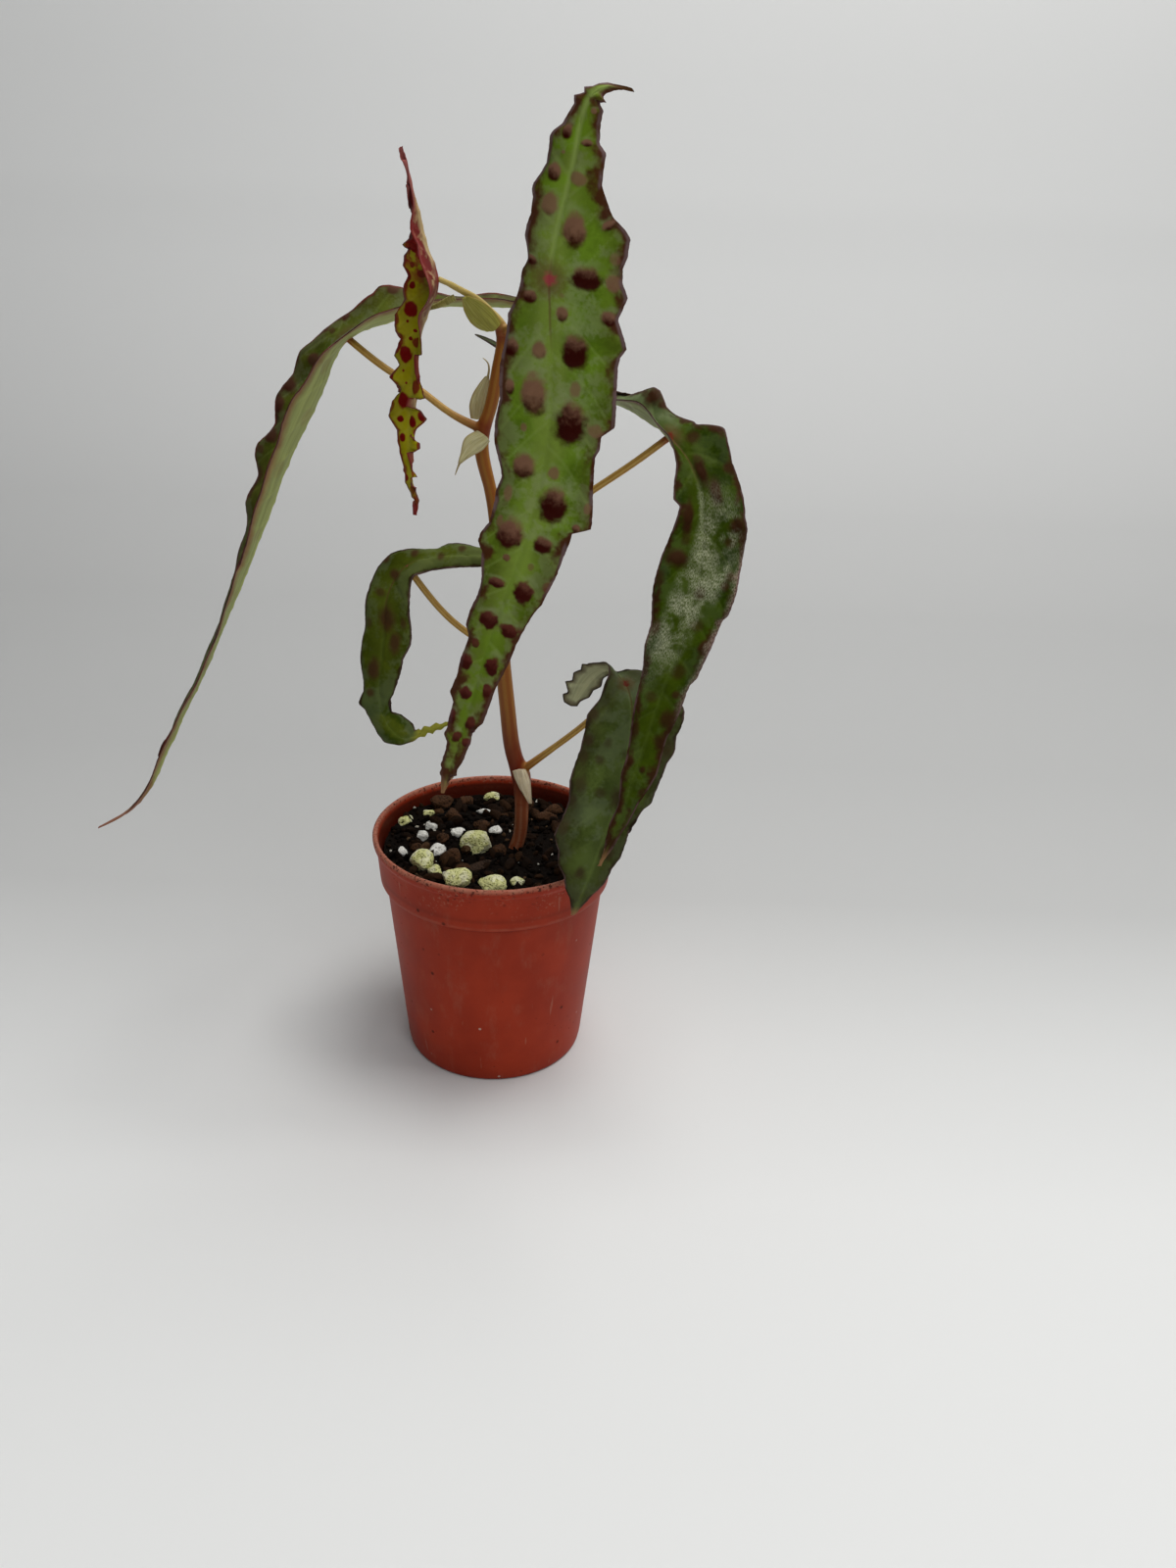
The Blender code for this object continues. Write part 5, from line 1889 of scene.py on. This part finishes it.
LOW_FINISH = LeafFinish(
    "leaf_low_right", deep=(.04, .058, .01), light=(.088, .125, .026), centre=(.088, .12, .032),
    spot=(.04, .02, .01), rim=(.045, .03, .014), hem=(.025, .015, .008), under=(.47, .48, .28),
    under_hem=(.1, .07, .04), rib_short=.1, hem_width=.9, soft=.5, shield_size=.9, shield=(.13, .012, .01),
    veins=.04, painted_sheen=(.15, .18, .11), cover=1.25, lobe_painted_sheen=.5, flank_brown_and_shade=(.03, .024, .008), flank_brown_and_shade_show=.6,
)
YOUNG_FINISH = LeafFinish(
    "leaf_young", deep=(.22, .18, .003), light=(.35, .31, .006), centre=(.32, .29, .006), spot=(.145, .003, .003),
    rim=(.17, .01, .008), hem=(.175, .01, .008), under=(.46, .33, .16), under_hem=(.2, .016, .014), glow=2.4,
    rib=(.45, .42, .1), hem_width=.9, soft=.12, flush=(.22, .014, .012), flush_end=.36, painted_sheen_show=.1,
    painted_sheen=(.4, .34, .08), line=.4, tip=(.2, .014, .012), tip_start=.975,
)

FRONT_LEAF = LeafBlade(
    "leaf_front", FRONT_FINISH, shield=6, wave=.7, wave_length=13, seed=3, tooth=1.2,
    stations=(
        (25.6, -47, 221.1, -.05, 0, .1, .05, 0, -.1), (22.8, -47, 221.7, -.1, .2, .35, .1, -.2, -.35),
        (20.2, -47, 221.4, -.4, .7, .8, .6, -.4, -.8), (17.5, -47, 217.5, -2.5, 1.5, .5, 3, -.5, 0),
        (16.5, -47, 212, -5, 2, 0, 4.5, -1, .5), (14.5, -46, 203.5, -5.5, 2, -.5, 7.5, -1.5, .5),
        (12.5, -43, 192, -5, 1.5, 0, 13, -2, .5), (13, -40.5, 179, -9, 1.5, -.5, 13, -2.5, 1),
        (12.5, -38.5, 163.5, -10, 1.5, -1, 10, -1.5, .5), (9.5, -37, 147.5, -8.5, 1, 0, 10.5, -1, -.5),
        (3, -35, 127, -5.5, 1, 1.5, 8, -1, 1.5), (-3, -33.5, 106.5, -4, .5, 1, 3.5, -1, -1),
        (-9, -32, 85.5, -.4, 0, 0, .4, 0, 0),
    ),
    spots=(
        (130, -50, 14, 13, 82), (138, 27, 11, 15, 60), (162, -37, 18, 15, 65), (195, 33, 29, 20, 80),
        (190, 90, 8, 15, 80), (250, 53, 20, 29, 100), (272, -50, 12, 13, 90), (228, -67, 8, 11, 90),
        (292, 20, 14, 12, 77), (100, 37, 6, 10, 80), (108, -40, 3, 4, 50), (65, 60, 4, 5, 60),
        (225, 87, 10, 10, 40), (90, -47, 13, 9, 90), (298, 80, 13, 14, 85), (338, 33, 33, 25, 100),
        (335, -23, 16, 14, 70), (332, -80, 16, 13, 90), (390, -30, 40, 24, 78), (385, 37, 15, 11, 50),
        (428, 40, 41, 30, 100), (430, -47, 9, 7, 50), (480, -37, 25, 23, 80), (490, 23, 13, 11, 60),
        (532, 33, 37, 27, 100), (578, -37, 33, 26, 87), (590, 37, 17, 18, 95), (612, -30, 8, 8, 70),
        (652, -33, 11, 17, 90), (665, 37, 24, 20, 95), (710, -27, 19, 18, 95), (728, 50, 15, 20, 90),
        (782, -70, 16, 14, 90), (780, 40, 21, 14, 90), (832, -33, 16, 12, 90), (870, -80, 16, 8, 90),
        (872, 37, 14, 11, 80), (902, 67, 11, 9, 80), (378, -77, 16, 9, 80), (558, -70, 12, 6, 50),
        (562, 80, 8, 8, 80), (532, 93, 14, 8, 50), (255, 87, 17, 14, 60), (268, 20, 5, 5, 30),
        (520, -60, 16, 8, 50), (435, 80, 15, 15, 50), (660, 90, 10, 10, 50), (625, 30, 7, 6, 40),
        (750, -50, 11, 8, 70), (818, 57, 14, 9, 80), (900, -23, 14, 9, 80),
    ),
    left_edge=(
        44, 2, 49.5, 10, 52, 1, 58, 12, 62, 1, 83, -5, 90, 4, 95, 3, 107, -3, 120, -6, 130, -2, 140, 5, 147, 5,
        155, 0, 172, -3, 190, 2, 200, 4, 230, -3, 242, 2, 260, -1, 273, -1, 295, 7, 325, 1, 365, -2, 395, -3,
        420, 1, 445, -1, 472, -7, 497, -14, 515, -9, 530, -11, 565, -4, 583, 8, 595, 10, 610, -1, 657, -6, 682, -6,
        708, -1, 733, 2, 750, -6, 782, -4, 802, -6, 838, 5, 850, -4, 890, -4, 902, 3, 915, -3, 935, 0, 953, 4,
        958, 1, 967, 5, 970, 0, 985, 0,
    ),
    right_edge=(
        42, 1, 47, 11, 51, -3, 65, 4, 80, -2, 102, -5, 113, 3, 125, 0, 147, -4, 160, 0, 182, 4, 195, 16, 205, 21,
        225, 11, 237, 1, 255, -5, 275, -1, 300, -16, 320, -5, 335, 2, 347, -5, 360, -6, 385, 1, 415, 12, 432, 16,
        445, -2, 460, 0, 470, -5, 507, 0, 525, 3, 562, 10, 570, -17, 590, -19, 623, -11, 647, -7, 672, -6, 690, -2,
        700, -5, 720, -6, 738, -7, 752, -8, 775, -4, 795, -3, 815, -4, 863, 2, 877, -8, 900, -1, 935, 1, 950, -4,
        960, 4, 964, -4, 985, 0,
    ),
)
LEFT_LEAF = LeafBlade(
    "leaf_left_long", LEFT_FINISH, shield=4, wave=.9, wave_length=12, seed=5, left_wave=.25, right_wave=.6, calm=.5,
    tooth=1.2, blister=.5,
    stations=(
        (10, 12, 181.5, 0, -.4, 0, 0, .4, 0), (-2.5, 11, 181, .5, -4.5, 2, 0, 3.5, 2),
        (-14.5, 9.5, 180.5, .5, -5.5, 2, -1, 4.5, 2.5), (-24, 7, 177.5, 1, -7, 3, -2, 5, 6),
        (-32, 5, 174, 0, -8, 1.5, -5.5, 6, 1.5), (-38, 3, 163, -1.5, -8.5, 3.5, -10, 6, -.5),
        (-44, 1, 151.5, -2, -8, 2.5, -9, 6, -.5), (-50, -2, 137.5, -1.5, -7, 2, -6, 6, 0),
        (-57.5, -5.5, 120, 0, -6, 2.5, -3.5, 5.5, -1), (-66.5, -9.5, 100.5, 1, -4.5, 2.5, -2.5, 4.5, -1),
        (-75, -13.5, 83.5, 0, -3, 2, -2, 3, -.5), (-82, -16.5, 72, 0, -1.5, .5, -.5, 1.5, 0),
        (-91, -18, 66.5, 0, -.4, 0, 0, .4, 0),
    ),
    spots=(
        (190, 87, 14, 11, 70), (242, 83, 10, 12, 80), (260, 100, 11, 15, 80), (295, 57, 14, 19, 70),
        (325, 87, 18, 25, 80), (355, 87, 18, 17, 80), (398, 80, 17, 25, 75), (420, 87, 9, 14, 50),
        (260, 70, 7, 11, 50), (455, 90, 17, 15, 50), (482, 100, 17, 13, 60), (300, -50, 22, 18, 70),
        (370, -35, 24, 19, 75), (440, -55, 22, 17, 75), (500, 35, 23, 18, 75), (530, -40, 19, 15, 70),
        (580, 55, 20, 16, 75), (620, -45, 18, 14, 70), (670, 30, 19, 14, 75), (720, -30, 16, 12, 70),
        (780, 40, 16, 11, 75), (830, -30, 13, 9, 70), (120, 30, 18, 13, 70), (180, -40, 17, 14, 70),
    ),
    left_edge=(
        40, -1, 60, 4, 80, -2, 100, 1, 117, 5, 140, -1, 160, 3, 185, 4, 205, 1, 220, 4, 245, 1, 258, -1, 268, -4,
        285, 1, 305, 4, 343, 5, 357, 11, 388, 13, 410, -1, 427, -4, 460, 2, 497, -2, 535, -3, 573, -11, 585, 0,
        627, -3, 667, -8, 693, -6, 720, 0, 750, -4, 790, 1, 830, -3, 870, 2, 910, -2, 940, 3, 965, -1,
    ),
    right_edge=(
        40, 3, 75, -1, 120, -5, 145, -2, 188, 1, 198, 2, 205, 0, 212, -9, 235, -9, 250, 1, 260, 2, 275, -3, 287, 6,
        312, -4, 328, 1, 343, -4, 360, -14, 380, -20, 412, 1, 432, 0, 455, -9, 500, 5, 517, -2, 537, -6, 562, -5,
        588, -3, 600, 2, 623, -5, 642, -7, 665, -4, 690, -3, 733, -5, 762, -8, 782, -4, 805, 3, 820, -5, 853, -9,
        900, 0, 940, 3, 965, -1,
    ),
)
ARCH_LEAF = LeafBlade(
    "leaf_right_arch", ARCH_FINISH, shield=4, wave=.7, wave_length=14, seed=7, tooth=1.15, blister=.3, relief=.4,
    stations=(
        (-5.5, 12, 175, 0, -.4, 0, 0, .4, 0), (7.5, 10, 168.5, 0, -3, 1, 0, 2.5, 1.5),
        (19.5, 4.5, 164.5, 0, -5.5, 2, 0, 3.5, 2), (29.5, -3, 162.5, .5, -5.5, 2.5, 2, 3, 3.5),
        (36.5, -10, 159, -.5, -4, 1.5, 3, 4, 4), (41.5, -14.5, 153.5, -3, -2.5, 0, 7, 2, 4.5),
        (44, -19, 142.5, -6, -1.5, -.5, 9, -.5, 0), (43, -23.5, 131, -8.5, -.5, 0, 8.5, -1.5, -.5),
        (39.5, -28.5, 118, -6.5, 0, 0, 6.5, -1.5, .5), (35, -33, 103.5, -4, 0, .5, 5, -1, 0),
        (31, -37, 89.5, -2, 0, 0, 2.5, -.5, -1), (25.5, -40, 73.5, -.4, 0, 0, .4, 0, 0),
    ),
    spots=(
        (298, 80, 19, 24, 80), (378, 53, 16, 15, 60), (390, 100, 14, 13, 80), (418, 20, 32, 12, 85),
        (448, 40, 32, 12, 80), (478, -53, 38, 12, 80), (535, -63, 19, 23, 80), (505, -50, 14, 9, 40),
        (430, 83, 14, 12, 70), (488, 80, 18, 18, 80), (510, 67, 12, 12, 50), (562, -97, 19, 14, 50),
        (555, 77, 12, 12, 50), (582, 17, 14, 12, 60), (635, -80, 16, 10, 60), (570, 70, 10, 10, 60),
        (630, 30, 13, 13, 40), (698, 30, 17, 14, 45), (738, -37, 13, 13, 40), (768, 60, 21, 18, 65),
        (800, 67, 15, 15, 65), (835, -60, 10, 8, 80), (842, 33, 8, 7, 70), (660, 77, 15, 12, 70),
        (732, 53, 9, 9, 60), (788, -73, 18, 9, 60), (890, -83, 27, 10, 60), (402, 23, 13, 10, 50),
        (315, 80, 9, 9, 60), (282, 80, 10, 9, 50), (90, 30, 15, 12, 70), (150, -40, 18, 15, 75),
        (200, 30, 19, 15, 70), (260, -50, 17, 15, 70),
    ),
    left_edge=(
        60, 3, 80, -2, 110, 3, 140, -2, 170, 3, 200, -1, 237, -1, 258, -1, 282, 2, 310, 2, 333, 4, 362, 4, 398, -1,
        422, 9, 445, 11, 458, -5, 497, 3, 527, 7, 578, 1, 623, -6, 632, -6, 662, 0, 690, -1, 723, 0, 752, 0, 790, 0,
        810, -1, 833, -2, 855, 3, 900, -2, 930, 3, 955, -1,
    ),
    right_edge=(
        60, 3, 90, -2, 120, 3, 150, -2, 180, 3, 210, -4, 233, -13, 250, -10, 273, 2, 287, 11, 300, 10, 323, -4,
        347, -3, 365, -3, 370, -7, 393, 16, 407, 3, 425, -6, 458, -3, 482, -3, 492, 1, 512, -2, 550, -4, 575, -2,
        610, 1, 618, -5, 660, -2, 708, 0, 718, -7, 743, -6, 765, -6, 792, -7, 843, 6, 887, 1, 920, 3, 950, -1,
    ),
)
CURL_LEAF = LeafBlade(
    "leaf_left_curl", CURL_FINISH, shield=3, wave=.5, wave_length=11, seed=9, blister=.15, relief=.28,
    stations=(
        (12, -11, 129, 0, .4, .2, 0, -.4, -.2), (2.5, -11, 132, 0, 3, 1.5, .5, -1, -2),
        (-9, -10, 132, -.5, 3.5, 1.5, 0, -2, -2.5), (-18.5, -10.5, 129.5, -2.5, 3.5, 2, 2, -2.5, -1.5),
        (-22.5, -12, 123.5, -4, 2, 1.5, 5, -2, .5), (-23.5, -14, 114.5, -5, 2, -1, 5.5, -1, 0),
        (-24.5, -16.5, 103.5, -4.5, 1.5, -1, 3.5, 0, 0), (-23, -18, 96, -4, .5, -.5, 2, 2.5, 1.5),
        (-19.5, -18, 92, -2, -.5, -2, 1.5, 3.5, 2), (-16, -17, 92.5, 0, 0, -.9, 0, .4, .7),
        (-12.5, -16, 93.6, 0, 0, -.6, 0, .1, .6), (-9, -15, 94.6, 0, 0, -.4, 0, 0, .3),
    ),
    spots=(
        (400, -100, 10, 11, 70), (342, -47, 9, 12, 50), (280, 7, 9, 10, 40), (228, -47, 9, 10, 40),
        (410, -10, 11, 14, 60), (468, -37, 9, 12, 35), (528, 10, 30, 19, 72), (590, 50, 24, 12, 50),
        (658, -30, 24, 15, 62), (545, -70, 13, 8, 30), (722, -47, 9, 10, 40), (538, 77, 13, 7, 35),
    ),
    left_edge=(
        80, 3, 120, -2, 188, -5, 233, 2, 260, 4, 278, -2, 287, -11, 335, -7, 362, -5, 388, 6, 405, 8, 427, 10,
        455, 4, 475, 0, 550, -1, 580, 4, 627, 1, 718, -6, 757, 8, 772, -2, 818, -4, 848, -1, 865, -4, 875, 0,
        902, 4, 912, -1, 925, 7, 935, 0, 950, 8, 962, 1, 975, 5, 988, 0,
    ),
    right_edge=(
        80, 2, 130, -1, 182, -4, 255, -2, 310, -3, 345, 1, 390, 0, 440, -3, 517, 0, 588, 7, 627, 0, 650, 3, 735, 1,
        765, -8, 795, -7, 830, 4, 873, 5, 890, -2, 905, 6, 918, 0, 932, 8, 945, 1, 960, 6, 972, 0, 985, 3,
    ),
)
LOW_LEAF = LeafBlade(
    "leaf_low_right", LOW_FINISH, shield=3, wave=.6, wave_length=12, seed=11, tooth=1.2, blister=.15, relief=.25,
    stations=(
        (18, -1, 94, -2, 0, 1, 1.5, -1.5, .5), (21, -2, 100, -3, 1, 1.5, 3, -2, 0),
        (25, -5.5, 105, -3, 1.5, 1.5, 1.5, -3.5, 0), (30, -13, 105, -4, .5, 2, 6.5, 3, .5),
        (31.5, -16.5, 101, -8.5, -.5, -.5, 11, 2.5, -.5), (31, -20.5, 92.5, -11, -.5, -1, 11, 2, 0),
        (29, -25.5, 82.5, -11, 0, -1, 8, 1.5, 0), (25.5, -30.5, 72, -9.5, .5, 0, 5.5, .5, .5),
        (22.5, -33, 63.5, -4, .5, -.5, 3.5, 0, .5), (20, -34, 57, -.4, 0, 0, .4, 0, 0),
    ),
    spots=(
        (382, -90, 15, 13, 50), (455, -87, 14, 14, 50), (470, -43, 11, 9, 35), (507, 0, 13, 13, 30),
        (505, -90, 18, 12, 40), (518, -53, 11, 11, 40), (528, 63, 14, 17, 45), (500, 80, 22, 14, 40),
        (635, 3, 27, 19, 50), (588, -80, 18, 14, 35), (618, -40, 11, 13, 35), (630, -93, 18, 10, 40),
        (725, -90, 20, 12, 40), (598, 53, 17, 15, 35), (800, 30, 18, 14, 50), (860, -40, 14, 11, 50),
    ),
    left_edge=(
        20, 7, 35, -3, 60, 9, 75, -2, 100, 3, 125, -4, 150, 5, 165, -1, 300, -1, 323, 1, 350, -3, 383, 7, 425, -1,
        482, -3, 542, 4, 573, 6, 637, -2, 693, 0, 750, 6, 800, -2, 840, 4, 870, -2, 910, 3, 940, -1,
    ),
    right_edge=(
        20, -6, 40, 3, 70, -4, 100, 2, 140, -3, 372, 5, 422, -7, 458, -10, 500, 0, 517, 0, 540, -5, 620, 1, 657, 4,
        670, -5, 723, -13, 770, -2, 820, 3, 850, -3, 900, 3, 940, -1,
    ),
)
YOUNG_LEAF = LeafBlade(
    "leaf_young", YOUNG_FINISH, shield=5, wave=.5, wave_length=9, seed=13, tooth=2, blister=.2, relief=.15,
    row_step=.22, vein_step=5, thickness=.4,
    stations=(
        (-16.7, -15, 211.2, -.1, 0, 0, .1, -.1, 0), (-16.1, -14.8, 208.3, -.15, .1, 0, .1, -.2, .1),
        (-15.5, -14.5, 205.4, -.4, .2, 0, 0, -.5, .2), (-13.9, -13.2, 199, -2.2, 1.4, 0, -1.3, -2.6, 0),
        (-12.6, -12, 193, -4.4, 2, 0, -1.9, -4.4, .5), (-11, -11, 188, -7, 2, -.5, -1, -5, 0),
        (-13.5, -10.5, 181, -6, 2, -.5, -.5, -4.5, .5), (-15.5, -10.5, 174, -4.5, 1.5, -.5, 1, -3, 0),
        (-16.5, -11, 166, -3.5, 1.5, 0, 2, -1.5, 0), (-17, -11.5, 159, -3, 1, 0, 2, -.5, 0),
        (-17, -12.5, 151.5, -1.5, .5, -.5, 1, 0, 0), (-16.3, -13.2, 145.6, -.4, .2, -.2, .35, 0, 0),
        (-15.9, -13.5, 141.4, -.2, 0, 0, .25, 0, 0),
    ),
    spots=(
        (422, -60, 16, 15, 100), (548, -50, 18, 14, 100), (678, -47, 17, 14, 100), (730, -57, 7, 8, 100),
        (732, 27, 12, 9, 100), (778, -53, 9, 7, 100), (352, -73, 8, 6, 90), (458, -60, 4, 4, 90),
        (505, -33, 4, 5, 90), (595, -53, 3, 3, 80), (630, -33, 3, 3, 80), (205, -73, 7, 8, 80),
        (250, -70, 11, 8, 80), (300, -77, 6, 5, 70), (285, 93, 18, 21, 70), (320, 77, 11, 20, 80),
        (325, -50, 8, 10, 80), (218, 70, 12, 16, 60), (485, -23, 4, 5, 90), (132, -60, 8, 6, 70),
        (325, -100, 12, 6, 80), (448, -100, 11, 8, 60), (535, -97, 13, 6, 70), (612, -100, 8, 7, 80),
        (700, -100, 12, 7, 50), (518, 3, 11, 12, 70), (638, 40, 15, 9, 70), (718, 87, 12, 7, 90),
        (800, 100, 10, 6, 70), (828, -93, 12, 5, 80), (888, -90, 9, 6, 80), (878, 57, 10, 4, 60),
        (925, -40, 10, 5, 60), (978, 63, 10, 3, 80),
    ),
    left_edge=(
        3, 0, 60, -1, 83, -1, 98, -5, 150, -4, 163, -1, 188, -4, 205, -2, 233, -6, 250, 4, 255, -7, 280, 2, 307, 4,
        330, -4, 352, -3, 395, -8, 435, 5, 458, 3, 485, -2, 507, -13, 535, -1, 552, 3, 578, -3, 615, 6, 647, -8,
        685, 6, 725, 8, 760, -2, 790, 1, 828, 1, 868, -2, 900, 4, 945, 2, 975, -4,
    ),
    right_edge=(
        98, 1, 158, 0, 210, -2, 250, -3, 278, 2, 320, 0, 385, 8, 448, -1, 482, 0, 525, 7, 539, 11, 544, -8, 578, -6,
        600, -6, 650, 2, 664, 6, 669, -14, 693, -15, 703, 1, 725, 8, 775, -9, 792, 3, 807, 4, 820, -9, 848, -5,
        890, 3, 895, -4, 955, 4,
    ),
)
LEAVES = (FRONT_LEAF, LEFT_LEAF, ARCH_LEAF, CURL_LEAF, LOW_LEAF, YOUNG_LEAF)

DRY_PAPER = PaperFinish("stipule_dry", (.84, .74, .55), (.6, .48, .3), (.34, .22, .13))
PALE_PAPER = PaperFinish("stipule_pale", (.62, .58, .34), (.46, .41, .2), (.3, .2, .09))
FRESH_PAPER = PaperFinish("stipule_fresh", (.38, .36, .07), (.24, .225, .03), (.34, .25, .06))
BUD_PAPER = PaperFinish("bud_skin", (.34, .31, .09), (.2, .18, .04), (.2, .1, .04))

STIPULES = (
    Stipule(
        "stipule_base", DRY_PAPER,
        stations=(
            (5.8, -3.2, 78, -1.6, .6, -.8, 1.6, .6, -.2),
            (6.6, -3.3, 75, -1.7, .7, 0, 1.8, .7, .2),
            (7.4, -3.2, 72, -1.2, .5, .3, 1.4, .5, .4),
            (8.6, -2.9, 68.8, -.4, .1, 0, .4, .1, 0),
        ),
        tail=(),
    ),
    Stipule(
        "stipule_node_lower", PALE_PAPER,
        stations=(
            (-1.9, -2.5, 156, -2, .3, 1.2, .6, .2, -1),
            (-4.6, -3.1, 154.2, -2, .6, 1.2, 1.6, .2, -1.2),
            (-6.3, -3.6, 152.4, -1, .5, .6, 1.2, .2, -.5),
            (-7.6, -4, 150.4, -.3, 0, 0, .3, 0, 0),
        ),
        tail=((-7.4, -3.95, 150.8), (-8, -4.1, 149.4), (-8.5, -4.1, 148)),
    ),
    Stipule(
        "stipule_node_upper", PALE_PAPER,
        stations=(
            (-4.6, 2.2, 158.6, -1, -.8, .3, 1.2, .7, 0),
            (-4.2, 2.3, 161.4, -1.7, -1.1, 0, 1.7, .5, 0),
            (-3.4, 2.4, 164.4, -1.6, -.8, 0, 1.6, .4, 0),
            (-2.2, 2.5, 167.6, -.4, -.1, 0, .4, .1, 0),
        ),
        tail=((-2.1, 2.5, 167.3), (-1.8, 2.5, 169.2), (-2.1, 2.5, 170.4), (-3.1, 2.4, 171.3)),
    ),
    Stipule(
        "stipule_tip", FRESH_PAPER,
        stations=(
            (-.4, -2.6, 177.6, -2.4, 1.2, -.2, 1.5, .6, 1.6),
            (-2.2, -4.4, 179.8, -2.6, 1, -1, 1.8, .6, 1.8),
            (-4.2, -7, 182.6, -2, .8, -.6, 1.4, .3, 1.2),
            (-5.7, -9.2, 184.6, -.5, .2, -.4, .5, 0, .3),
        ),
        tail=(),
    ),
)

BUD_LINE = (
    ((-7.6, -9, 184.5), .65), ((-9, -9, 183.8), .75), ((-11, -8.2, 182.8), .6), ((-13.2, -7, 181.9), .35),
)

# Name, kind, place, half sizes and turn of each stone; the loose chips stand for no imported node.
STONES = tuple(
    Stone(name, kind, place, half, turn, seed, packed=not name.startswith("chip"))
    for seed, (name, kind, place, half, turn) in enumerate((
        ("pumice_1", Grain.PUMICE, (-4.6, -2.8), (3.3, 2.9, 2.6), 20),
        ("pumice_2", Grain.PUMICE, (-16.6, -11.6), (2.9, 2.5, 2.3), 75),
        ("pumice_3", Grain.PUMICE, (-7.4, -19.4), (3.3, 2.4, 2.3), 10),
        ("pumice_4", Grain.PUMICE, (1, -20), (2.9, 2.3, 2.2), 160),
        ("perlite_1", Grain.PERLITE, (-9.6, 4.2), (1.6, 1.5, 1.3), 0),
        ("perlite_2", Grain.PERLITE, (-14, -5.6), (2.1, 1.8, 1.6), 40),
        ("perlite_3", Grain.PERLITE, (-22.3, -6.3), (1.3, 1.3, 1.2), 0),
        ("perlite_4", Grain.PERLITE, (-16.6, 5.7), (1.4, 1.3, 1.2), 30),
        ("perlite_5", Grain.PERLITE, (-18.3, .6), (1.4, 1.3, 1.2), 60),
        ("clay_1", Grain.CLAY, (1.2, -3.2), (1.6, 1.5, 1.4), 0),
        ("clay_2", Grain.CLAY, (-9.4, -8.2), (2.2, 1.9, 1.8), 110),
        ("clay_3", Grain.CLAY, (-15.6, 19), (2.8, 2.2, 2), 35),
        ("clay_4", Grain.CLAY, (-11.8, 11.3), (2.3, 1.9, 1.7), 80),
        ("clay_5", Grain.CLAY, (11.6, 13.6), (2.8, 2, 1.8), 5),
        ("bark_chip", Grain.BARK, (-3.6, -11.6), (4.2, 1.2, .9), 42),
        ("chip_1", Grain.PUMICE, (-3, 24.4), (1.9, 1.2, 1.3), 5),
        ("chip_2", Grain.PUMICE, (-23.6, 9.5), (1.9, 1.3, 1.1), 60),
        ("chip_3", Grain.PUMICE, (-18.3, 13.2), (1.5, 1.1, .9), 20),
        ("chip_4", Grain.PERLITE, (-4.3, 16.5), (1.9, .9, .8), 170),
        ("chip_5", Grain.CLAY, (-19, -3.6), (1.4, 1.2, 1.1), 0),
        ("chip_6", Grain.PERLITE, (-.4, 5), (1.5, 1.2, 1.1), 20),
        ("chip_7", Grain.PUMICE, (6.6, -17.6), (1.6, 1.3, 1.3), 30),
        ("chip_8", Grain.PUMICE, (-13.2, -14.8), (1.8, 1.3, 1.4), 140),
        ("chip_9", Grain.CLAY, (-13.2, 1.4), (1.7, 1.4, 1.2), 70),
        ("chip_10", Grain.CLAY, (13.6, 18.6), (2.2, 1.7, 1.5), 20),
        ("chip_11", Grain.CLAY, (-9.4, 20.8), (2.1, 1.8, 1.6), 120),
        ("chip_12", Grain.CLAY, (6.4, 20.4), (2, 1.5, 1.4), 45),
        ("chip_13", Grain.CLAY, (-4.2, 9.4), (1.9, 1.4, 1.2), 15),
    ), 1)
)


def main() -> None:
    """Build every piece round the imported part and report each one."""
    logging.basicConfig(level=logging.INFO, format="%(name)s %(message)s")
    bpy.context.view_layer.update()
    Studio().build()
    pot = NurseryPot()
    surface = MixSurface()
    pot.build()
    PottingMix(pot, surface).build()
    kinds = {kind: kind.build() for kind in Grain}
    for stone in STONES:
        stone.build(surface, kinds[stone.kind])
    Cane(CANE_LINE, STALKS).build(LEAVES)
    for leaf in LEAVES:
        leaf.build(STALKS[leaf.name][-1])
    for stipule in STIPULES:
        stipule.build()
    Bud(BUD_LINE, BUD_PAPER).build()


if __name__ == "__main__":
    main()
